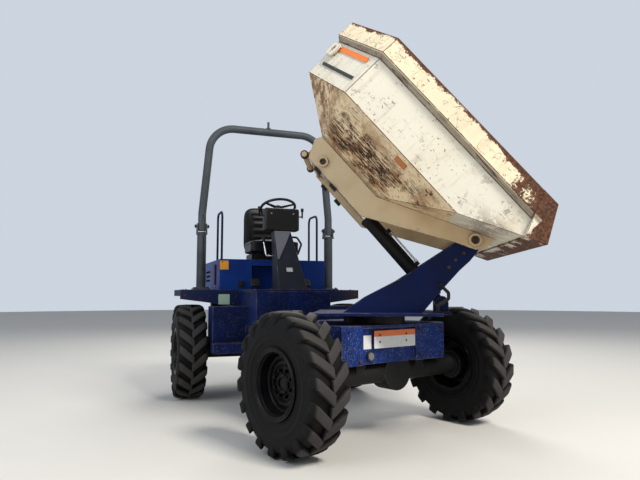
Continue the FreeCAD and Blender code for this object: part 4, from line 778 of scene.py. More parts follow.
class Solid:
    """A piece being shaped in a body's own axes."""

    axis_radius = 0.0005
    merge = 2e-5
    flat_angle = math.radians(0.4)
    shade_angle = math.radians(50.0)

    def __init__(self) -> None:
        """Start with nothing."""
        self.bm = bmesh.new()

    def block(self, low: Triple, high: Triple,
              turn: Matrix | None = None) -> list[bmesh.types.BMVert]:
        """A block between two corners.

        Args:
            low: lowest corner.
            high: highest corner.
            turn: optional turn about the block's middle.
        Returns:
            Its vertices.
        """
        middle = (Vector(low) + Vector(high)) / 2
        size = Vector(high) - Vector(low)
        matrix = Matrix.Translation(middle) @ (turn or Matrix()) @ Matrix.Diagonal((*size, 1.0))
        return bmesh.ops.create_cube(self.bm, size=1.0, matrix=matrix)["verts"]

    def bar(self, start: Vector, end: Vector, radius: float, sides: int = 24,
            tip: float | None = None) -> list[bmesh.types.BMVert]:
        """A round bar or cone between two points.

        Args:
            start: middle of the first end.
            end: middle of the other end.
            radius: radius at the start.
            sides: sides round it.
            tip: radius at the end, where it differs.
        Returns:
            Its vertices.
        """
        start, end = Vector(start), Vector(end)
        matrix = Matrix.Translation((start + end) / 2) @ turned_to(end - start)
        return bmesh.ops.create_cone(self.bm, cap_ends=True, segments=sides, radius1=radius,
                                     radius2=radius if tip is None else tip,
                                     depth=(end - start).length, matrix=matrix)["verts"]

    def blocks(self, *corners: tuple[Triple, Triple]) -> None:
        """Several blocks, each by its two corners."""
        for low, high in corners:
            self.block(low, high)

    def comb(self, start: Triple, end: Triple, step: Triple, count: int, radius: float) -> None:
        """Equal thin bars side by side.

        Args:
            start: first end of the first bar.
            end: its other end.
            step: way from one bar to the next.
            count: number of bars.
            radius: radius of each.
        """
        for index in range(count):
            off = Vector(step) * index
            self.bar(Vector(start) + off, Vector(end) + off, radius, 6)

    def bolts(self, places: list[Triple], axis: Vector, radius: float, height: float) -> None:
        """A hexagon head on its washer at each place."""
        axis = axis.normalized()
        for centre in map(Vector, places):
            self.bar(centre, centre + axis * height * 0.25, radius * 1.35, 16)
            self.bar(centre + axis * height * 0.2, centre + axis * height, radius, 6)

    def lathe(self, profile: list[Pair], centre: Vector, axis: Vector, steps: int = 64,
              closed: bool = True) -> None:
        """Spin a profile of radius and place along an axis.

        Args:
            profile: corners as radius and distance along the axis.
            centre: a point on the axis.
            axis: direction of the axis.
            steps: divisions of the turn.
            closed: whether the last corner joins the first.
        """
        centre = Vector(centre)
        matrix = Matrix.Translation(centre) @ turned_to(axis)
        verts = [self.bm.verts.new(matrix @ Vector((radius, 0.0, along))) for radius, along in profile]
        pairs = list(zip(verts, verts[1:])) + ([(verts[-1], verts[0])] if closed else [])
        edges = [self.bm.edges.new(pair) for pair in pairs]
        bmesh.ops.spin(self.bm, geom=verts + edges, cent=centre, axis=axis, angle=math.tau,
                       steps=steps, use_merge=True)
        bmesh.ops.remove_doubles(self.bm, verts=self.bm.verts, dist=1e-6)

    def pipe(self, points: list[Triple], radius: float, bend: float,
             sides: int = 16, steps: int = 6) -> None:
        """A round tube of straight runs and arcs, closed at both ends.

        Args:
            points: corners of the route.
            radius: radius of the tube.
            bend: radius of each arc.
            sides: sides round the tube.
            steps: divisions of each arc.
        """
        route = [Vector(p) for p in points]
        matrix = Matrix.Translation(route[0]) @ turned_to(route[1] - route[0])
        ring = bmesh.ops.create_circle(self.bm, cap_ends=True, segments=sides, radius=radius, matrix=matrix)
        start = {v for v in ring["verts"]}
        cap = [f for f in self.bm.faces if set(f.verts) == start]
        loop = [e for e in self.bm.edges if set(e.verts) <= start]
        here = route[0]

        def run(to: Vector) -> None:
            """Extrude the open ring straight to a point."""
            nonlocal loop, here
            if (to - here).length < 1e-7:
                return
            made = bmesh.ops.extrude_edge_only(self.bm, edges=loop)["geom"]
            moved = [g for g in made if isinstance(g, bmesh.types.BMVert)]
            loop = [g for g in made if isinstance(g, bmesh.types.BMEdge) and set(g.verts) <= set(moved)]
            bmesh.ops.translate(self.bm, verts=moved, vec=to - here)
            here = to

        for before, corner, after in zip(route, route[1:], route[2:]):
            back, ahead = (before - corner).normalized(), (after - corner).normalized()
            half = back.angle(ahead) / 2
            reach = min(bend / math.tan(half), 0.48 * min((before - corner).length, (after - corner).length))
            turn = reach * math.tan(half)
            run(corner + back * reach)
            centre = corner + (back + ahead).normalized() * (turn / math.sin(half))
            axis = (-back).cross(ahead).normalized()
            verts = list({v for e in loop for v in e.verts})
            made = bmesh.ops.spin(self.bm, geom=verts + loop, cent=centre, axis=axis,
                                  angle=math.pi - 2 * half, steps=steps)["geom_last"]
            loop = [g for g in made if isinstance(g, bmesh.types.BMEdge)]
            here = corner + ahead * reach
        run(route[-1])
        bmesh.ops.contextual_create(self.bm, geom=loop)
        if cap:
            bmesh.ops.recalc_face_normals(self.bm, faces=self.bm.faces)

    def hoop(self, loop: list[Vector], radius: float, sides: int = 8) -> None:
        """A thin tube along a closed flat loop.

        Args:
            loop: points of the loop in order.
            radius: radius of the tube.
            sides: sides round it.
        """
        count = len(loop)
        middle = sum(loop, Vector()) / count
        flat = (loop[1] - loop[0]).cross(loop[count // 3] - loop[0]).normalized()
        rings = []
        for point in loop:
            out = (point - middle).normalized()
            rings.append([self.bm.verts.new(point + out * (radius * math.cos(math.tau * k / sides))
                                            + flat * (radius * math.sin(math.tau * k / sides)))
                          for k in range(sides)])
        made = []
        for index in range(count):
            low, high = rings[index], rings[(index + 1) % count]
            for k in range(sides):
                after = (k + 1) % sides
                made.append(self.bm.faces.new((low[k], low[after], high[after], high[k])))
        bmesh.ops.recalc_face_normals(self.bm, faces=made)

    def plate(self, points: list[Triple], push: Vector) -> list[bmesh.types.BMVert]:
        """A flat outline pushed along a direction.

        Args:
            points: corners of the outline.
            push: direction and thickness.
        Returns:
            All its vertices.
        """
        verts = [self.bm.verts.new(Vector(p)) for p in points]
        face = self.bm.faces.new(verts)
        made = bmesh.ops.extrude_face_region(self.bm, geom=[face])["geom"]
        top = [g for g in made if isinstance(g, bmesh.types.BMVert)]
        bmesh.ops.translate(self.bm, verts=top, vec=Vector(push))
        return verts + top

    def mirrored(self) -> "Solid":
        """Add the mirror image on the other side of the middle plane."""
        copy = bmesh.ops.duplicate(self.bm, geom=self.bm.verts[:] + self.bm.edges[:] + self.bm.faces[:])["geom"]
        verts = [g for g in copy if isinstance(g, bmesh.types.BMVert)]
        faces = [g for g in copy if isinstance(g, bmesh.types.BMFace)]
        bmesh.ops.scale(self.bm, vec=(1, -1, 1), verts=verts)
        bmesh.ops.reverse_faces(self.bm, faces=faces)
        return self

    def round_off(self, width: float, angle: float = 30.0, segments: int = 2) -> None:
        """Ease every edge sharper than an angle and mark the eased strips.

        Args:
            width: width of the easing.
            angle: least angle in degrees that counts as an edge.
            segments: divisions of the easing.
        """
        layer = self.bm.loops.layers.float.get("edge") or self.bm.loops.layers.float.new("edge")
        sharp = [e for e in self.bm.edges if e.is_manifold and e.calc_face_angle(0.0) > math.radians(angle)
                 and e.calc_length() > width * 0.8]
        made = bmesh.ops.bevel(self.bm, geom=sharp, offset=width, offset_type="OFFSET", segments=segments,
                               profile=0.5, affect="EDGES", clamp_overlap=False, material=-1)
        for face in made["faces"]:
            for loop in face.loops:
                loop[layer] = 1.0

    def close(self, name: str, body: str, coat: Coat, datum: Datum | None = None, width: float = 0.0,
              slot: str | None = None, replaces: tuple[str, ...] = (), angle: float = 30.0,
              outward: bool = True) -> bpy.types.Object:
        """Turn the shape into a finished piece on its body.

        Args:
            name: the piece's name.
            body: the body that it rides on.
            coat: its finish.
            datum: the axes it was drawn in, or None for the row frame.
            width: easing of its sharp edges.
            slot: the record's material slot; not used.
            replaces: nodes that it stands for.
            angle: least angle of a sharp edge in degrees.
            outward: whether to turn the faces outward first.
        Returns:
            The object.
        """
        if outward:
            bmesh.ops.recalc_face_normals(self.bm, faces=self.bm.faces)
        if width:
            self.round_off(width, angle)
        if datum is not None:
            self.bm.transform(datum.matrix)
        mesh = bpy.data.meshes.new(name)
        for face in self.bm.faces:
            face.smooth = True
        self.bm.to_mesh(mesh)
        self.bm.free()
        mesh.set_sharp_from_angle(angle=self.shade_angle)
        piece = bpy.data.objects.new(name, mesh)
        bpy.context.scene.collection.objects.link(piece)
        piece.data.materials.append(Palette.of(coat))
        if width:
            weighted = piece.modifiers.new("even_shading", "WEIGHTED_NORMAL")
            weighted.keep_sharp = True
        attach(piece, body)
        if replaces:
            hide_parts(*replaces)
        LOG.info("%s: %d faces", name, len(mesh.polygons))
        return piece


def dressed(node: str, coat: Coat, width: float = 0.0025, angle: float = 30.0) -> bpy.types.Object:
    """A node's solid with eased edges and its finish.

    Args:
        node: the node.
        coat: its finish.
        width: easing of its edges; 0 keeps the node itself.
        angle: least angle of a sharp edge in degrees.
    Returns:
        The piece shown.
    """
    source = frame["nodes"][node]
    if not width:
        source.data.materials.clear()
        source.data.materials.append(Palette.of(coat))
        LOG.info("%s: kept", node)
        return source
    solid = Solid()
    solid.bm.from_mesh(source.data)
    bmesh.ops.remove_doubles(solid.bm, verts=solid.bm.verts, dist=solid.merge)
    bmesh.ops.dissolve_limit(solid.bm, angle_limit=solid.flat_angle, verts=solid.bm.verts,
                             edges=solid.bm.edges, use_dissolve_boundaries=False)
    return solid.close("dressed_" + node, source["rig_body"], coat, None, width, None, (node,), angle, False)


Coats = dict[str, tuple[Coat, float]]


def dress(coats: Coats) -> None:
    """Finish each node of a table of coats and edge widths."""
    for node, (coat, width) in coats.items():
        dressed(node, coat, width)


def ring_of(centre: Vector, across: Vector, up: Vector, half: Pair, square: float,
            count: int) -> list[Vector]:
    """Corners of an oval or a rounded rectangle.

    Args:
        centre: its middle.
        across: unit direction of its width.
        up: unit direction of its height.
        half: half width and half height.
        square: 1 for an oval, less for squarer corners.
        count: number of corners.
    Returns:
        The corners in order.
    """
    corners = []
    for index in range(count):
        turn = math.tau * (index + 0.5) / count
        c, s = math.cos(turn), math.sin(turn)
        corners.append(centre + across * (half[0] * math.copysign(abs(c) ** square, c))
                       + up * (half[1] * math.copysign(abs(s) ** square, s)))
    return corners


@dataclass
class Wheel:
    """A wheel: traction tyre with vee bars, dished rim, hub and nuts."""

    name: str
    datum: Datum
    ahead: float
    side: int
    track: float = 1.584
    radius: float = 0.430
    half: float = 0.131
    carcass: float = 0.397
    bars: int = 18
    nuts: int = 8
    nut_circle: float = 0.080
    valley_reach: float = 0.402
    valley_half: float = 0.118
    worn_reach: float = 0.4205

    def build(self) -> None:
        """The tyre and the rim."""
        self.tyre()
        self.rim()

    def centre(self) -> Vector:
        """The wheel's centre in its body's axes."""
        return Vector((self.ahead, self.side * self.track / 2, self.radius))

    def bar_mesh(self, solid: Solid, side: int, turn: float) -> None:
        """One tread bar from the middle, over the shoulder and down the side wall.

        Args:
            solid: where it goes.
            side: 1 or -1, the side of the tyre.
            turn: its angle forward of the top, in radians.
        """
        stations = (  # across, outer radius, root across, root radius, along, half width, half root width
            (-0.009, 0.4290, -0.009, 0.396, 0.052, 0.034, 0.043),
            (0.025, 0.4298, 0.025, 0.396, 0.022, 0.034, 0.043),
            (0.060, 0.4294, 0.060, 0.395, -0.009, 0.034, 0.043),
            (0.090, 0.4270, 0.090, 0.393, -0.036, 0.035, 0.043),
            (0.110, 0.4225, 0.104, 0.388, -0.052, 0.035, 0.043),
            (0.1235, 0.4120, 0.112, 0.380, -0.060, 0.035, 0.042),
            (0.1300, 0.3930, 0.1175, 0.372, -0.064, 0.034, 0.040),
            (0.1308, 0.3700, 0.1215, 0.362, -0.066, 0.028, 0.034),
            (0.1285, 0.3480, 0.1245, 0.346, -0.068, 0.018, 0.023),
        )
        centre = self.centre()
        rows = []
        for across, outer, root_across, root, along, wide, root_wide in stations:
            row = []
            for reach, y, half, sign in ((root, root_across, root_wide, -1), (outer, across, wide, -1),
                                         (outer, across, wide, 1), (root, root_across, root_wide, 1)):
                angle = turn + (along + sign * half) / self.radius
                row.append(solid.bm.verts.new(centre + Vector((reach * math.sin(angle), y * side,
                                                               reach * math.cos(angle)))))
            rows.append(row)
        for low, high in zip(rows, rows[1:]):
            for index in range(4):
                after = (index + 1) % 4
                solid.bm.faces.new((low[index], low[after], high[after], high[index]))
        solid.bm.faces.new(rows[0])
        solid.bm.faces.new(rows[-1])

    def tyre(self) -> None:
        """The tyre."""
        solid = Solid()
        for side in (-1, 1):
            for index in range(self.bars):
                self.bar_mesh(solid, side, math.tau / self.bars * (index + (0.5 if side < 0 else 0.0)))
        bmesh.ops.recalc_face_normals(solid.bm, faces=solid.bm.faces)
        solid.round_off(0.0045, 38.0)
        wall = [(0.190, 0.1072), (0.228, 0.1072), (0.233, 0.1112), (0.239, 0.1088), (0.256, 0.1150),
                (0.260, 0.1195), (0.264, 0.1170), (0.296, 0.1235), (0.299, 0.1252), (0.302, 0.1238),
                (0.345, 0.1258), (0.366, 0.1222), (0.381, 0.1130), (0.391, 0.0980), (0.396, 0.0760)]
        profile = wall + [(r, -y) for r, y in reversed(wall)]
        solid.lathe(profile, self.centre(), LEFT, 96)
        valley = solid.bm.verts.layers.float.new("valley")
        worn = solid.bm.verts.layers.float.new("worn")
        centre = self.centre()
        for vert in solid.bm.verts:
            off = vert.co - centre
            reach = math.hypot(off.x, off.z)
            low = reach < self.valley_reach
            vert[valley] = (1.0 if abs(off.y) < self.valley_half else 0.35) if low else 0.0
            vert[worn] = 1.0 if reach > self.worn_reach else 0.0
        node = "tyre_" + self.name
        solid.close("tyre_shown_" + self.name, "wheel_" + self.name, Coat.TYRE, self.datum, 0.0, None, (node,))

    def rim(self) -> None:
        """The rim with its steps, disc, hub and nuts."""
        solid = Solid()
        out = LEFT * self.side
        centre = self.centre()
        profile = [(0.0381, 0.058), (0.056, 0.058), (0.060, 0.055), (0.062, 0.0445), (0.100, 0.0440),
                   (0.106, 0.0385), (0.128, 0.0385), (0.131, 0.0400), (0.134, 0.0385),
                   (0.158, 0.0385), (0.1665, 0.0420), (0.1705, 0.0520), (0.1725, 0.0680),
                   (0.1770, 0.0760), (0.1780, 0.0980), (0.1830, 0.1020), (0.1850, 0.1140), (0.1900, 0.1190),
                   (0.1960, 0.1185), (0.1990, 0.1150), (0.2030, 0.1150), (0.2060, 0.1195), (0.2120, 0.1198),
                   (0.2148, 0.1170), (0.2148, 0.1084), (0.1885, 0.1084), (0.1885, -0.1084), (0.2148, -0.1084),
                   (0.2148, -0.1170), (0.2120, -0.1195), (0.1780, -0.1195), (0.1760, -0.1170),
                   (0.1740, 0.0300), (0.0780, 0.0300), (0.0780, -0.0360), (0.0381, -0.0360)]
        solid.lathe(profile, centre, out, 72)
        bmesh.ops.recalc_face_normals(solid.bm, faces=solid.bm.faces)
        solid.round_off(0.0012, 40.0, 1)
        for off in around(self.nuts, self.nut_circle, AHEAD, UP, 0.5):
            place = centre + out * 0.0435 + off
            for low, high, radius, sides in ((0.0, 0.003, 0.0155, 20), (0.0025, 0.0150, 0.0115, 6),
                                             (0.0145, 0.0210, 0.0065, 12)):
                solid.bar(place + out * low, place + out * high, radius, sides)
        for off in around(6, 0.0470, AHEAD, UP):
            place = centre + out * 0.0575 + off
            solid.bar(place, place + out * 0.0045, 0.0052, 6)
        valve = centre + out * 0.098 + Vector((0.123, 0, 0.123))
        solid.bar(valve, valve + out * 0.022, 0.0042, 10)
        node = "rim_" + self.name
        solid.close("rim_shown_" + self.name, "wheel_" + self.name, Coat.RIM, self.datum, 0.0, None, (node,))


@dataclass
class Decals:
    """Blank stickers and reflectors: thin plates laid on the faces of their bodies."""

    thickness: float = 0.0009

    def patch(self, name: str, body: str, datum: Datum, corners: list[Triple],
              lift: Triple, coat: Coat, slot: str, thickness: float = 0.0) -> None:
        """One of them.

        Args:
            name: the piece's name.
            body: body that it rides on.
            datum: axes that its corners are in.
            corners: its corners in order.
            lift: direction off the face.
            coat: its finish.
            slot: the record's slot.
            thickness: its thickness where it isn't a sticker's.
        """
        solid = Solid()
        off = Vector(lift).normalized()
        points = [tuple(Vector(c) + off * 0.0004) for c in corners]
        solid.plate(points, off * (thickness or self.thickness))
        solid.close(name, body, coat, datum, 0.0006 if thickness else 0.0, slot)

    @staticmethod
    def facing(x: float, right: float, left: float, low: float, high: float) -> list[Triple]:
        """Corners of an upright rectangle that faces ahead."""
        return [(x, right, low), (x, left, low), (x, left, high), (x, right, high)]

    def build(self) -> None:
        """All of them."""
        lean = tuple(Vector((0.548, 0, 0.265)).normalized())
        top, low = ((Station.front_face(z), z) for z in (1.192, 1.156))
        for row in (
            ("housing_sticker", "rear", REAR, self.facing(-0.850, -0.527, -0.445, 1.189, 1.273), AHEAD,
             Coat.LABEL_AMBER, "blue_paint"),
            ("wing_sticker", "rear", REAR, self.facing(-0.830, -0.539, -0.434, 0.860, 0.955), AHEAD,
             Coat.LABEL_GREEN, "blue_paint"),
            ("console_sticker", "rear", REAR, [(low[0], -0.009, low[1]), (low[0], 0.048, low[1]),
             (top[0], 0.048, top[1]), (top[0], -0.009, top[1])], lean, Coat.LABEL_PALE, "blue_paint"),
            ("nose_sticker", "front", FRONT, self.facing(1.080, -0.283, -0.214, 0.602, 0.690), AHEAD,
             Coat.LABEL_PALE, "blue_paint"),
            ("skip_stripe_orange", "skip", SKIP, [(-1.575, -0.3595, 0.172), (-1.262, -0.6725, 0.172),
             (-1.266, -0.6735, 0.208), (-1.579, -0.3605, 0.208)], CANT, Coat.STRIPE_ORANGE, "white_paint"),
            ("skip_stripe_black", "skip", SKIP, [(-1.552, -0.3635, 0.036), (-1.240, -0.6755, 0.036),
             (-1.2437, -0.6760, 0.060), (-1.5557, -0.3640, 0.060)], CANT, Coat.STRIPE_BLACK, "white_paint"),
        ):
            self.patch(*row)
        for side, word in ((-1, "right"), (1, "left")):
            reflector = [(-0.702, 0.628, -0.0921), (-0.614, 0.628, -0.0921), (-0.614, 0.664, -0.0703),
                         (-0.702, 0.664, -0.0703)]
            marker = [(-1.130, 0.530, 1.045), (-1.062, 0.530, 1.045), (-1.062, 0.530, 1.245),
                      (-1.130, 0.530, 1.245)]
            for name, body, datum, corners, lift, coat, slot, thickness in (
                ("reflector_", "skip", SKIP, reflector, (0, 0.517 * side, -0.856), Coat.AMBER, "white_paint", 0.007),
                ("side_marker_", "rear", REAR, marker, (0, side, 0), Coat.RED_DULL, "blue_paint", 0.010),
            ):
                corners = [(x, y * side, z) for x, y, z in corners]
                self.patch(name + word, body, datum, corners, lift, coat, slot, thickness)


@dataclass
class SkipFittings:
    """Lifting lugs, the pivot rings and the small steel on the skip's underframe."""

    lug_centre: Triple = (-1.580, -0.4055, 0.155)
    lug_half: Pair = (0.050, 0.052)
    hole_half: Pair = (0.013, 0.026)
    stand_off: float = 0.018
    coats: Coats = field(default_factory=lambda: {
        "skip_tub": (Coat.SKIP, 0.003), "skip_rim": (Coat.SKIP, 0.003), "skip_underframe": (Coat.TAN, 0.003),
        "rest_pads": (Coat.RUBBER, 0.003), "travel_latch_bar": (Coat.TAN, 0.002)})

    def build(self) -> None:
        """All of them."""
        dress(self.coats)
        self.lugs()
        self.pivots()
        self.latch()

    def lugs(self) -> None:
        """A lifting lug on each canted rear corner."""
        solid = Solid()
        out = Vector(CANT).normalized()
        across = Vector((0.7071, -0.7071, 0))
        up = out.cross(across).normalized()
        base = Vector(self.lug_centre)
        base -= out * (out.dot(base) - 1.3411)
        outer = ring_of(base + out * self.stand_off, across, up, self.lug_half, 0.55, 28)
        inner = ring_of(base + out * self.stand_off, across, up, self.hole_half, 1.0, 28)
        first = [solid.bm.verts.new(p) for p in outer]
        second = [solid.bm.verts.new(p) for p in inner]
        faces = [solid.bm.faces.new((first[i], first[(i + 1) % 28], second[(i + 1) % 28], second[i]))
                 for i in range(28)]
        made = bmesh.ops.extrude_face_region(solid.bm, geom=faces)["geom"]
        moved = [g for g in made if isinstance(g, bmesh.types.BMVert)]
        bmesh.ops.translate(solid.bm, verts=moved, vec=out * 0.012)
        for sign in (-1, 1):
            foot = base + up * (sign * (self.lug_half[1] - 0.010))
            solid.plate([tuple(foot + across * (0.040 * a) + up * (0.006 * b))
                         for a, b in ((-1, -1), (1, -1), (1, 1), (-1, 1))], out * (self.stand_off + 0.001))
        bmesh.ops.recalc_face_normals(solid.bm, faces=solid.bm.faces)
        solid.mirrored()
        solid.close("lifting_lugs", "skip", Coat.SKIP, SKIP, 0.0016, "white_paint")

    def pivots(self) -> None:
        """Ring, pin end and grease nipple at each tipping pivot and each upper ram pin."""
        rings, pins = Solid(), Solid()
        for x, z, big in ((0.0, 0.0, 0.044), (-1.053, -0.393, 0.036)):
            out = -LEFT
            base = Vector((x, -0.326 if big > 0.04 else -0.320, z))
            rings.lathe([(big * 0.62, 0.0), (big * 0.98, 0.0), (big, 0.002), (big, 0.007), (big * 0.94, 0.010),
                         (big * 0.66, 0.010), (big * 0.62, 0.007)], base, out, 40)
            pins.lathe([(Solid.axis_radius, 0.0), (big * 0.56, 0.0), (big * 0.56, 0.003), (big * 0.5, 0.005),
                        (Solid.axis_radius, 0.005)], base, out, 32)
            pins.bar(base + out * 0.004, base + out * 0.011, 0.0045, 6)
            pins.bar(base + out * 0.010, base + out * 0.015, 0.0025, 8)
        rings.mirrored()
        pins.mirrored()
        rings.close("skip_pivot_rings", "skip", Coat.TAN, SKIP, 0.0008, "cream_paint")
        pins.close("skip_pin_ends", "skip", Coat.SCALE, SKIP, 0.0008, "cream_paint")

    def latch(self) -> None:
        """Rusty end caps of the travel latch bar."""
        solid = Solid()
        for sign in (-1, 1):
            solid.lathe([(0.0205, 0.0), (0.026, 0.0), (0.028, 0.003), (0.028, 0.040), (0.025, 0.044),
                         (0.0205, 0.044)], (-1.200, sign * 0.195, -0.445), LEFT * sign, 32)
        solid.close("latch_collars", "skip", Coat.SCALE, SKIP, 0.0008, "cream_paint")


@dataclass
class Nose:
    """The front chassis and its axle, with bolts, marker lamp and weld beads."""

    marker: Triple = (1.0803, -0.2255, 0.5550)
    slew_ring: Triple = (0.886, 0.0, 0.8150)
    bolt_circle: float = 0.195
    coats: Coats = field(default_factory=lambda: {
        "front_chassis": (Coat.BLUE_WORN, 0.003), "front_axle": (Coat.AXLE, 0.004),
        "centre_pivot": (Coat.IRON, 0.002), "slew_ring": (Coat.IRON, 0.003), "nose_sign": (Coat.SIGN, 0.0015)})

    def build(self) -> None:
        """All of them."""
        dress(self.coats)
        bolts = Solid()
        bolts.bolts([(1.105, y, z) for y, z in ((-0.463, 0.527), (-0.337, 0.530), (0.225, 0.720), (0.450, 0.720),
                                                (0.225, 0.540), (0.450, 0.540))], AHEAD, 0.0105, 0.009)
        bolts.bolts([(1.102, y, z) for y in (-0.155, 0.095) for z in (0.645, 0.690)], AHEAD, 0.0055, 0.004)
        bolts.close("nose_bolts", "front", Coat.SCALE, FRONT, 0.0007, "blue_paint")
        for name, coat, closed, profile in (
            ("nose_marker", Coat.CLEAR_DULL, False, [
                (Solid.axis_radius, 0.004), (Solid.axis_radius, 0.012), (0.014, 0.0165), (0.024, 0.014),
                (0.027, 0.006), (0.027, 0.0)]),
            ("nose_marker_bezel", Coat.PLASTIC, True, [
                (0.027, 0.0), (0.034, 0.0), (0.034, 0.008), (0.031, 0.012), (0.027, 0.010)]),
        ):
            solid = Solid()
            solid.lathe(profile, self.marker, AHEAD, 40, closed)
            solid.close(name, "front", coat, FRONT, 0.0, "blue_paint")
        bead, hoses, ring = Solid(), Solid(), Solid()
        for side in (-1, 1):
            for z, radius in ((0.5045, 0.0035), (0.7535, 0.0030)):
                bead.pipe([(0.330, side * 0.4895, z), (1.090, side * 0.4895, z)], radius, 0.01, 8)
            hoses.pipe([(0.150, side * 0.045, 0.600), (0.060, side * 0.150, 0.640),
                        (-0.080, side * 0.150, 0.640), (-0.170, side * 0.080, 0.720)], 0.009, 0.05, 12)
        centre = Vector(self.slew_ring)
        ring.bolts([centre + off for off in around(16, self.bolt_circle, AHEAD, LEFT)], -UP, 0.007, 0.006)
        bead.close("front_welds", "front", Coat.BLUE_WORN, FRONT, 0.0, "blue_paint")
        ring.close("slew_ring_bolts", "front", Coat.IRON, FRONT, 0.0, "dark_iron")
        hoses.close("steering_hoses", "pivot", Coat.RUBBER, REAR, 0.0, "dark_iron")


@dataclass
class Tower:
    """The slew table with its tower and ram, and bolts, weld beads, hose ends and a pipe on the ram."""

    coats: Coats = field(default_factory=lambda: {
        # slew table and tower take the shadowed copy of the blue: painted shadow of the skip
        "slew_table": (Coat.BLUE_SHADOWED, 0.003), "tower": (Coat.BLUE_SHADOWED, 0.003), "ram_barrel": (Coat.BLACK, 0.002),
        "ram_rod": (Coat.BRIGHT, 0.002), "ram_hose": (Coat.RUBBER, 0.0)})

    def build(self) -> None:
        """All of them."""
        dress(self.coats)
        solid = Solid()
        for side in (-1, 1):
            solid.bolts([(x, side * 0.288, z) for x, z in ((0.581, 1.222), (0.531, 1.182), (0.486, 1.132))],
                        LEFT * side, 0.0085, 0.008)
        solid.close("tower_bolts", "table", Coat.SCALE, TABLE, 0.0007, "blue_paint")
        ends = Solid()
        for x, y, z, axis in ((0.400, -0.312, 0.8363, (0, 0, 1)), (0.430, -0.2883, 1.010, (0, -1, 0))):
            base, way = Vector((x, y, z)), Vector(axis)
            ends.bar(base, base + way * 0.012, 0.0175, 6)
            ends.bar(base + way * 0.011, base + way * 0.040, 0.0135, 20)
        ends.close("hose_ends", "table", Coat.BLACK, TABLE, 0.0007, "blue_paint")
        bead = Solid()
        for side in (-1, 1):
            bead.pipe([(-0.205, side * 0.2885, 0.8375), (0.310, side * 0.2885, 0.8375)], 0.004, 0.01, 8)
        bead.close("tower_welds", "table", Coat.BLUE_SHADOWED, TABLE, 0.0, "blue_paint")
        pipe = Solid()
        pipe.pipe([(0.310, -0.022, -0.0612), (0.615, -0.022, -0.0612)], 0.0066, 0.01, 16)
        for x in (0.332, 0.590):
            pipe.bar((x - 0.012, -0.022, -0.0612), (x + 0.012, -0.022, -0.0612), 0.0105, 6)
        pipe.close("ram_pipe_shown", "ram_barrel", Coat.BRIGHT, RAM, 0.0, "black_paint")


@dataclass
class Seat:
    """The driver's seat: padded cushion and backrest with piping, on its base."""

    cushion_low: Triple = (-1.150, -0.245, 1.3453)
    cushion_high: Triple = (-0.770, 0.245, 1.485)
    back_low: Triple = (-1.2400, -0.235, 1.366)
    back_high: Triple = (-1.1505, 0.235, 1.845)
    pinch: float = 0.035
    stitch_width: float = 0.045
    stitch_depth: float = 0.007
    rib_height: float = 0.003
    rib_rate: float = 22.0
    piping: float = 0.0042
    base: Coats = field(default_factory=lambda: {
        "seat_base": (Coat.BLACK, 0.003), "seat_bracket": (Coat.BLACK, 0.003)})

    def build(self) -> None:
        """The cushion, the backrest and their base."""
        dress(self.base)
        self.pad("seat_cushion", self.cushion_low, self.cushion_high, 2, 0.016, 7.5, 0.70)
        self.pad("seat_back", self.back_low, self.back_high, 0, 0.012, 5.5, 0.66)

    def pad(self, node: str, low: Triple, high: Triple, face: int,
            crown: float, square: float, groove: float) -> None:
        """A crowned pad with pulled-in sides, a stitched panel and piping.

        Args:
            node: the node that it stands for.
            low: lowest corner.
            high: highest corner.
            face: axis that its sitting face looks along.
            crown: rise of its middle.
            square: how square its corners are.
            groove: place of the stitched line, from 0 at the middle to 1 at the edge.
        """
        solid = Solid()
        bmesh.ops.create_cube(solid.bm, size=2.0)
        bmesh.ops.subdivide_edges(solid.bm, edges=solid.bm.edges, cuts=30, use_grid_fill=True)
        middle = (Vector(low) + Vector(high)) / 2
        half = (Vector(high) - Vector(low)) / 2
        half[face] -= crown / 2
        others = [axis for axis in range(3) if axis != face]
        for vert in solid.bm.verts:
            p = vert.co.copy()
            scale = sum(abs(v) ** square for v in p) ** (-1 / square)
            p *= scale
            flat = [abs(p[axis]) for axis in others]
            pull = 1 - self.pinch * (1 - abs(p[face]) ** 2) * (1 - min(flat) ** 2)
            for axis in others:
                p[axis] *= pull
            place = Vector(tuple(middle[k] + p[k] * half[k] for k in range(3)))
            if p[face] > 0:
                swell = (1 - flat[0] ** 2) * (1 - flat[1] ** 2)
                stitch = max(abs(flat[0] / groove), abs(flat[1] / groove))
                dent = math.exp(-((stitch - 1) / self.stitch_width) ** 2) * self.stitch_depth
                ribs = self.rib_height * math.cos(p[others[face == 0]] * self.rib_rate) if stitch < 0.93 else 0.0
                place[face] += crown * swell - dent + ribs
            vert.co = place
        bmesh.ops.recalc_face_normals(solid.bm, faces=solid.bm.faces)
        first, second = others
        unit = (AHEAD, LEFT, UP)
        edge_middle = middle.copy()
        edge_middle[face] += half[face] * 0.52
        loop = ring_of(edge_middle, unit[first], unit[second], (half[first] * 0.982, half[second] * 0.982),
                       2.0 / square, 72)
        solid.hoop(loop, self.piping)
        piece = solid.close(node + "_shown", "rear", Coat.VINYL, REAR, 0.0, None, (node,))
        smooth = piece.modifiers.new("smooth", "SUBSURF")
        smooth.levels = 1
        smooth.render_levels = 1


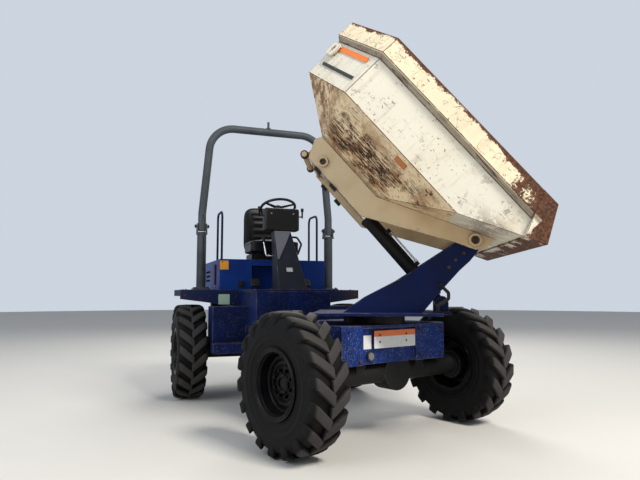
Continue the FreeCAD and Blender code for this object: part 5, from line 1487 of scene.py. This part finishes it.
@dataclass
class Station:
    """Console, instrument box, steering wheel, levers and pedals."""

    lean: float = math.radians(22.0)
    hand: Triple = (-0.705, 0.0, 1.765)
    hand_radius: float = 0.165
    flange: float = 1.0035
    pedal_tilt: float = math.radians(38.0)
    coats: Coats = field(default_factory=lambda: {
        "console": (Coat.CHARCOAL, 0.006), "instrument_box": (Coat.PLASTIC, 0.020),
        "steering_column": (Coat.BLACK, 0.002), "control_levers": (Coat.PLASTIC, 0.002),
        "grab_rails": (Coat.BLUE_DARK, 0.0)})

    def build(self) -> None:
        """All of them."""
        dress(self.coats)
        self.wheel()
        self.console_trim()
        self.instruments()
        self.pedals()

    def wheel(self) -> None:
        """The steering wheel."""
        along = Vector((-math.sin(self.lean), 0, math.cos(self.lean)))
        centre = Vector(self.hand) + along * 0.020
        solid = Solid()
        ring = [(self.hand_radius + 0.0128 * math.cos(a), 0.0128 * math.sin(a))
                for a in (math.tau * k / 14 for k in range(14))]
        solid.lathe(ring, centre, along, 72)
        solid.lathe([(0.0105, -0.038), (0.030, -0.038), (0.034, -0.030), (0.036, 0.004), (0.032, 0.014),
                     (0.018, 0.020), (0.0105, 0.020)], centre, along, 36)
        cap = [(Solid.axis_radius, 0.008), (Solid.axis_radius, 0.024), (0.017, 0.022), (0.019, 0.016),
               (0.019, 0.008)]
        solid.lathe(cap, centre, along, 28, False)
        side, up = LEFT, along.cross(LEFT)
        for turn in (90, 210, 330):
            ray = side * math.cos(math.radians(turn)) + up * math.sin(math.radians(turn))
            wide = along.cross(ray).normalized()
            inner, outer = centre + ray * 0.028, centre + ray * (self.hand_radius - 0.004)
            solid.plate([tuple(inner - wide * 0.017 - along * 0.004), tuple(inner + wide * 0.017 - along * 0.004),
                         tuple(outer + wide * 0.010 - along * 0.003), tuple(outer - wide * 0.010 - along * 0.003)],
                        along * 0.0075)
        solid.close("steering_wheel_shown", "steering_wheel", Coat.PLASTIC, REAR, 0.0, None, ("steering_wheel",))

    @staticmethod
    def front_face(z: float) -> float:
        """Place of the console's leaning front face at a height."""
        return -0.285 - (z - 0.997) * 0.265 / 0.548

    def console_trim(self) -> None:
        """Gaiter, side tubes, bolts and the foot flange of the console."""
        gaiter = Solid()
        off = Vector((0.548, 0, 0.265)).normalized()
        points = [(self.front_face(z), y, z) for y, z in ((-0.078, 1.538), (0.078, 1.538), (0.030, 1.440),
                                                          (-0.064, 1.270), (-0.078, 1.270))]
        gaiter.plate([tuple(Vector(p) + off * 0.0006) for p in points], off * 0.008)
        gaiter.close("console_gaiter", "rear", Coat.GREY_SOFT, REAR, 0.002, "black_plastic")
        brake = Solid()
        brake.pipe([(-0.525, -0.086, 1.304), (-0.525, -0.158, 1.304), (-0.560, -0.180, 1.485)], 0.0094, 0.025, 20)
        brake.close("brake_lever", "rear", Coat.BRIGHT, REAR, 0.0, "bright_steel")
        grip = Solid()
        grip.pipe([(-0.5508, -0.1742, 1.433), (-0.5602, -0.1801, 1.4905)], 0.0145, 0.01, 20)
        grip.close("brake_grip", "rear", Coat.RUBBER, REAR, 0.002, "black_plastic")
        loop = Solid()
        loop.pipe([(-0.575, 0.082, 1.490), (-0.575, 0.150, 1.490), (-0.560, 0.190, 1.425), (-0.545, 0.150, 1.325),
                   (-0.530, 0.107, 1.325)], 0.0094, 0.025, 18)
        loop.close("console_loop", "rear", Coat.RUBBER, REAR, 0.0, "black_plastic")
        foot = Solid()
        foot.blocks(((-0.545, -0.125, 0.9975), (-0.260, -0.1005, self.flange)),
                    ((-0.545, 0.1655, 0.9975), (-0.260, 0.190, self.flange)),
                    ((-0.2845, -0.125, 0.9975), (-0.258, 0.190, self.flange)))
        foot.close("console_flange", "rear", Coat.CHARCOAL, REAR, 0.0012, "blue_paint")
        bolts = Solid()
        bolts.bolts([(x, y, self.flange) for x in (-0.500, -0.400, -0.300) for y in (-0.113, 0.178)], UP, 0.0065,
                    0.006)
        bolts.close("console_bolts", "rear", Coat.SCALE, REAR, 0.0, "blue_paint")

    def instruments(self) -> None:
        """Screws on the front of the instrument box, dials and switches on the driver's side."""
        screws, dials, glass = Solid(), Solid(), Solid()
        tip = Solid.axis_radius
        for y, z in ((-0.105, 1.705), (0.105, 1.708)):
            screws.lathe([(tip, 0.0), (tip, 0.005), (0.007, 0.004), (0.009, 0.0)], (-0.5449, y, z), AHEAD, 24, False)
        for y, z, size, shown in ((-0.060, 1.705, 0.034, 0.030), (0.045, 1.715, 0.026, 0.0225),
                                  (0.105, 1.715, 0.020, 0.017)):
            dials.lathe([(tip, 0.0), (size, 0.0), (size * 1.15, 0.001), (size * 1.18, 0.007), (size, 0.008),
                         (size * 0.9, 0.003), (tip, 0.003)], (-0.6551, y, z), -AHEAD, 36)
            glass.bar((-0.6578, y, z), (-0.6592, y, z), shown, 32)
        for y in (-0.110, -0.070, -0.030, 0.010, 0.050):
            dials.block((-0.661, y, 1.635), (-0.6548, y + 0.022, 1.655))
        dials.bar((-0.655, 0.118, 1.645), (-0.669, 0.118, 1.645), 0.010, 20)
        dials.block((-0.685, 0.1165, 1.630), (-0.668, 0.1195, 1.652))
        screws.close("box_screws", "rear", Coat.BRIGHT, REAR, 0.0, "bright_steel")
        dials.close("dials", "rear", Coat.BLACK, REAR, 0.001, "black_plastic")
        glass.close("dial_faces", "rear", Coat.LABEL_PALE, REAR, 0.0, "black_plastic")

    def pedals(self) -> None:
        """Two ribbed pedals on the platform."""
        solid = Solid()
        turn = Matrix.Rotation(self.pedal_tilt, 4, "Y")
        for y in (-0.245, 0.245):
            solid.block((-0.640, y - 0.042, 1.055), (-0.540, y + 0.042, 1.065), turn)
            for index in range(5):
                x = -0.624 + index * 0.017
                z = 1.0665 - (x + 0.590) * math.tan(self.pedal_tilt)
                solid.block((x - 0.003, y - 0.038, z - 0.004), (x + 0.003, y + 0.038, z + 0.004), turn)
            solid.bar((-0.590, y, 1.055), (-0.590, y, 0.9975), 0.010, 16)
        solid.close("pedals", "rear", Coat.RUBBER, REAR, 0.001, "black_plastic")


@dataclass
class RollHoop:
    """The hoop and its posts, with the bolts of the fold joints and feet."""

    half: float = 0.667
    ahead: float = -1.119
    joint_height: float = 1.625
    coats: Coats = field(default_factory=lambda: {
        "rops_posts": (Coat.GREY, 0.0018), "rops_hoop": (Coat.GREY, 0.0)})

    def build(self) -> None:
        """All of it."""
        dress(self.coats)
        solid = Solid()
        for side in (-1, 1):
            out = LEFT * side
            for reach, way in ((0.058, out), (-0.058, -out)):
                base = Vector((self.ahead, side * self.half, self.joint_height)) + out * reach
                solid.bar(base, base + way * 0.003, 0.020, 24)
                solid.bar(base + way * 0.0025, base + way * 0.013, 0.0155, 6)
            solid.bolts([(self.ahead + dx, side * self.half + dy, 1.013) for dx in (-0.068, 0.068)
                         for dy in (-0.058, 0.058)], UP, 0.011, 0.011)
            solid.bolts([(self.ahead + 0.010, side * (self.half + 0.050), z) for z in (1.565, 1.585)], out, 0.006,
                        0.005)
        solid.close("hoop_bolts", "rear", Coat.NUTS, REAR, 0.0006, "grey_paint")
        weld = Solid()
        for side in (-1, 1):
            weld.lathe([(0.0445, 0.0), (0.053, 0.0), (0.050, 0.006), (0.0455, 0.009)],
                       Vector((self.ahead, side * self.half, 1.0130)), UP, 40)
        weld.close("post_welds", "rear", Coat.GREY, REAR, 0.0, "grey_paint")
        cable = Solid()
        y = -self.half + 0.012
        cable.pipe([(-1.0700, y, 1.180), (-1.0700, y, 1.480), (-1.0400, y, 1.560), (-1.0300, y, 1.700),
                    (-1.0700, y, 1.745)], 0.0045, 0.03, 12)
        cable.close("beacon_cable", "rear", Coat.RUBBER, REAR, 0.0, "black_plastic")
        clips = Solid()
        for z in (1.220, 1.460):
            clips.block((-1.0760, y - 0.010, z - 0.006), (-1.0640, y + 0.010, z + 0.006))
        clips.close("cable_clips", "rear", Coat.PLASTIC, REAR, 0.001, "black_plastic")


@dataclass
class RearBody:
    """Housing, hood, platform, steps and lamps, with their latches, grilles and bolts."""

    wire: float = 0.0016
    post_clear: Pair = (0.11, 0.095)
    # housing and hood take the sunlit copy of the blue: painted sunlight
    coats: Coats = field(default_factory=lambda: {
        "engine_housing": (Coat.BLUE_SUNLIT, 0.004), "engine_hood": (Coat.BLUE_SUNLIT, 0.004), "platform": (Coat.DECK, 0.003),
        # steps and rear chassis take the shaded copy of the blue: painted shade
        "side_steps": (Coat.BLUE_SHADE, 0.0025), "rear_chassis": (Coat.BLUE_SHADE, 0.003),
        "rear_bumper": (Coat.BLUE_DARK, 0.006), "tow_hitch": (Coat.IRON, 0.003), "rear_lamps": (Coat.RED, 0.004),
        "engine": (Coat.CAST, 0.006), "rear_axle": (Coat.AXLE, 0.004)})

    def build(self) -> None:
        """All of it."""
        dress(self.coats)
        self.latches()
        self.grilles()
        self.bolts()
        self.stack()
        self.lamps()
        self.treads()

    def latches(self) -> None:
        """Latch on the front of the housing and the handle of the hood."""
        solid = Solid()
        solid.blocks(((-0.8500, -0.352, 1.024), (-0.8385, -0.293, 1.081)),
                     ((-0.8390, -0.330, 1.034), (-0.8290, -0.315, 1.072)))
        solid.bar((-0.8385, -0.3225, 1.0525), (-0.8240, -0.3225, 1.0525), 0.013)
        solid.block((-1.8480, -0.055, 1.165), (-1.8348, 0.055, 1.215))
        solid.close("housing_latch", "rear", Coat.PLASTIC, REAR, 0.002, "black_plastic")
        handle = Solid()
        handle.pipe([(-1.8348, -0.090, 1.245), (-1.8720, -0.090, 1.245), (-1.8720, 0.090, 1.245),
                     (-1.8348, 0.090, 1.245)], 0.0075, 0.02, 14)
        handle.close("hood_handle", "hood", Coat.PLASTIC, REAR, 0.0, "blue_paint")
        knuckles = Solid()
        for y in (-0.400, -0.225, 0.225, 0.400):
            knuckles.bar((-1.296, y - 0.020, 1.2975), (-1.296, y + 0.020, 1.2975), 0.0095, 16)
            knuckles.block((-1.2900, y - 0.020, 1.2895), (-1.2500, y + 0.020, 1.2935))
        knuckles.close("hinge_knuckles", "rear", Coat.SCALE, REAR, 0.0008, "blue_paint")

    def grilles(self) -> None:
        """Fine mesh behind the slots of the hood."""
        solid = Solid()
        solid.comb((-1.8220, -0.305, 1.045), (-1.8220, -0.305, 1.250), (0, 0.0244, 0), 26, self.wire)
        solid.comb((-1.8195, -0.305, 1.052), (-1.8195, 0.305, 1.052), (0, 0, 0.024), 9, self.wire)
        for y in (-0.5170, 0.5170):
            solid.comb((-1.735, y, 1.075), (-1.735, y, 1.215), (0.0225, 0, 0), 14, self.wire)
        solid.close("hood_mesh", "hood", Coat.BLACK, REAR, 0.0, "blue_paint")

    def bolts(self) -> None:
        """Bolts of the fascias, the housing and the bumper."""
        solid = Solid()
        for side in (-1, 1):
            for places, axis, radius, height in (
                ([(-0.830, 0.370, 0.935), (-0.830, 0.620, 0.940), (-0.830, 0.850, 0.945), (-0.830, 0.400, 0.870)],
                 AHEAD, 0.0075, 0.006),
                ([(-0.850, 0.505, 1.030), (-0.850, 0.505, 1.262), (-0.850, 0.240, 1.262)], AHEAD, 0.0065, 0.005),
                ([(x, 0.530, 1.020) for x in (-1.240, -1.060, -0.900)], LEFT * side, 0.0065, 0.005),
                ([(-1.870, y, 0.640) for y in (0.120, 0.300)], -AHEAD, 0.012, 0.010),
                ([(x, 0.830, 0.997) for x in (-1.380, -1.160, -0.900)], UP, 0.008, 0.006),
            ):
                solid.bolts([(x, side * y, z) for x, y, z in places], axis, radius, height)
        solid.close("body_bolts", "rear", Coat.SCALE, REAR, 0.0006, "blue_paint")

    def stack(self) -> None:
        """Exhaust outlet and filler cap on the hood."""
        pipe = Solid()
        pipe.lathe([(0.0225, 0.0), (0.0270, 0.0), (0.0270, 0.098), (0.0225, 0.098)], (-1.560, 0.330, 1.2905), UP, 36)
        pipe.lathe([(0.027, 0.0), (0.046, 0.0), (0.044, 0.005), (0.029, 0.010)], (-1.560, 0.330, 1.2902), UP, 36)
        pipe.close("exhaust_outlet", "hood", Coat.SCALE, REAR, 0.0, "blue_paint")
        cap = Solid()
        centre = Vector((-1.620, -0.330, 1.2902))
        cap.lathe([(Solid.axis_radius, 0.0), (0.044, 0.0), (0.046, 0.004), (0.046, 0.020), (0.040, 0.027),
                   (Solid.axis_radius, 0.029)], centre, UP, 40)
        for off in around(12, 0.0455, AHEAD, LEFT):
            place = centre + off + UP * 0.0023
            cap.bar(place, place + UP * 0.018, 0.0035, 8)
        cap.close("filler_cap", "hood", Coat.PLASTIC, REAR, 0.0, "blue_paint")

    def lamps(self) -> None:
        """Bezels of the rear lamps."""
        solid = Solid()
        for side in (-1, 1):
            y, z = side * 0.390, 0.7575
            for right, low, left, high in ((-0.062, 0.0275, 0.062, 0.0345), (-0.062, -0.0345, 0.062, -0.0275),
                                           (-0.062, -0.0345, -0.055, 0.0345), (0.055, -0.0345, 0.062, 0.0345)):
                solid.block((-1.8760, y + right, z + low), (-1.8702, y + left, z + high))
        solid.close("lamp_bezels", "rear", Coat.PLASTIC, REAR, 0.001, "black_plastic")

    def treads(self) -> None:
        """Raised lozenges on the boarding steps and the platform."""
        solid = Solid()
        for side in (-1, 1):
            for (first_x, step_x, columns), (first_y, step_y, rows), (low, high), (long, wide) in (
                ((-0.505, 0.026, 5), (0.352, 0.031, 10), (0.5318, 0.5336), (0.0085, 0.0022)),
                ((-0.860, -0.060, 10), (0.570, 0.045, 7), (0.9968, 0.9988), (0.011, 0.003)),
            ):
                for column, row in ((i, j) for i in range(columns) for j in range(rows)):
                    x, y = first_x + column * step_x, side * (first_y + row * step_y)
                    if abs(x - RollHoop.ahead) < self.post_clear[0] and (
                            abs(abs(y) - RollHoop.half) < self.post_clear[1]):
                        continue
                    turn = Matrix.Rotation(math.radians(45.0 if (row + column) % 2 else -45.0), 4, "Z")
                    solid.block((x - long, y - wide, low), (x + long, y + wide, high), turn)
        solid.close("tread_lozenges", "rear", Coat.DECK, REAR, 0.0, "blue_paint")


@dataclass
class Studio:
    """Camera, floor and lamps."""

    eye: Triple = (4.4697, -1.7084, 0.9603)
    yaw: float = -0.33988
    pitch: float = 0.09573
    lens: float = 31.43
    floor_shade: Colour = rgb(0.62, 0.60, 0.56)
    sky: Colour = rgb(0.60, 0.66, 0.74)
    soft: Colour = rgb(0.80, 0.88, 1.0)
    soft_level: float = 0.42
    target: Triple = (0.2, 0.0, 1.1)
    floor_radius: float = 30.0

    def build(self) -> None:
        """Make all of it."""
        bpy.context.scene.view_settings.view_transform = "Standard"
        self.camera()
        self.floor()
        self.world()
        self.lamps()

    def camera(self) -> None:
        """The camera at the photograph's angle."""
        data = bpy.data.cameras.new("camera")
        data.lens = self.lens
        data.sensor_width = 36.0
        camera = bpy.data.objects.new("camera", data)
        bpy.context.scene.collection.objects.link(camera)
        ahead = Vector((-math.cos(self.yaw) * math.cos(self.pitch),
                        -math.sin(self.yaw) * math.cos(self.pitch), math.sin(self.pitch)))
        camera.location = self.eye
        camera.rotation_mode = "QUATERNION"
        camera.rotation_quaternion = ahead.to_track_quat("-Z", "Y")
        bpy.context.scene.camera = camera

    def floor(self) -> None:
        """A plain pale floor."""
        bm = bmesh.new()
        bmesh.ops.create_circle(bm, cap_ends=True, segments=64, radius=self.floor_radius)
        mesh = bpy.data.meshes.new("floor")
        bm.to_mesh(mesh)
        bm.free()
        floor = bpy.data.objects.new("floor", mesh)
        bpy.context.scene.collection.objects.link(floor)
        recipe = Recipe("floor")
        grain = recipe.noise(recipe.mapped(), 3.0, 6.0)
        colour = recipe.mix(grain.step(0.3, 0.7) * 0.08, self.floor_shade, rgb(0.54, 0.52, 0.48))
        floor.data.materials.append(recipe.finish(colour, 0.9))

    def world(self) -> None:
        """Soft light from all round, and a pale background."""
        world = bpy.data.worlds.new("studio")
        bpy.context.scene.world = world
        recipe = Recipe("studio", world)
        path = recipe.node("ShaderNodeLightPath", {}, {}, "Is Camera Ray")
        outs = path.socket.node.outputs
        seen = path | Signal(recipe, outs["Is Transmission Ray"]) | Signal(recipe, outs["Is Glossy Ray"])
        light = recipe.node("ShaderNodeBackground", {}, {"Color": self.soft, "Strength": self.soft_level}, 0)
        backdrop = recipe.node("ShaderNodeBackground", {}, {"Color": self.sky, "Strength": 1.0}, 0)
        both = recipe.node("ShaderNodeMixShader", {}, {0: seen, 1: light, 2: backdrop}, 0)
        recipe.node("ShaderNodeOutputWorld", {}, {"Surface": both}, None)

    def lamps(self) -> None:
        """A broad key high on one side and a weaker fill on the other."""
        for name, place, size, power, tint in (
            ("key", (7.0, 2.2, 7.5), 2.2, 950.0, (1.0, 0.95, 0.87)),
            ("fill", (3.0, -7.0, 4.5), 5.0, 260.0, (0.90, 0.95, 1.0)),
            ("back", (-6.0, 2.5, 6.5), 4.0, 380.0, (1.0, 0.98, 0.95)),
        ):
            data = bpy.data.lights.new(name, "AREA")
            data.size = size
            data.energy = power
            data.color = tint
            lamp = bpy.data.objects.new(name, data)
            bpy.context.scene.collection.objects.link(lamp)
            lamp.location = place
            aim = Vector(self.target) - Vector(place)
            lamp.rotation_mode = "QUATERNION"
            lamp.rotation_quaternion = aim.to_track_quat("-Z", "Y")


def main() -> None:
    """Build the studio and every sub-assembly in order."""
    logging.basicConfig(level=logging.INFO, format="%(message)s")
    wheels = [Wheel(end + "_" + word, datum, ahead, side)
              for end, datum, ahead in (("front", FRONT, 0.980), ("rear", REAR, -0.965))
              for word, side in (("right", -1), ("left", 1))]
    for assembly in (Studio(), *wheels, SkipFittings(), Nose(), Tower(), RearBody(), RollHoop(), Seat(), Station(),
                     Decals()):
        assembly.build()
        LOG.info("built %s", type(assembly).__name__)


if __name__ == "__main__":
    main()
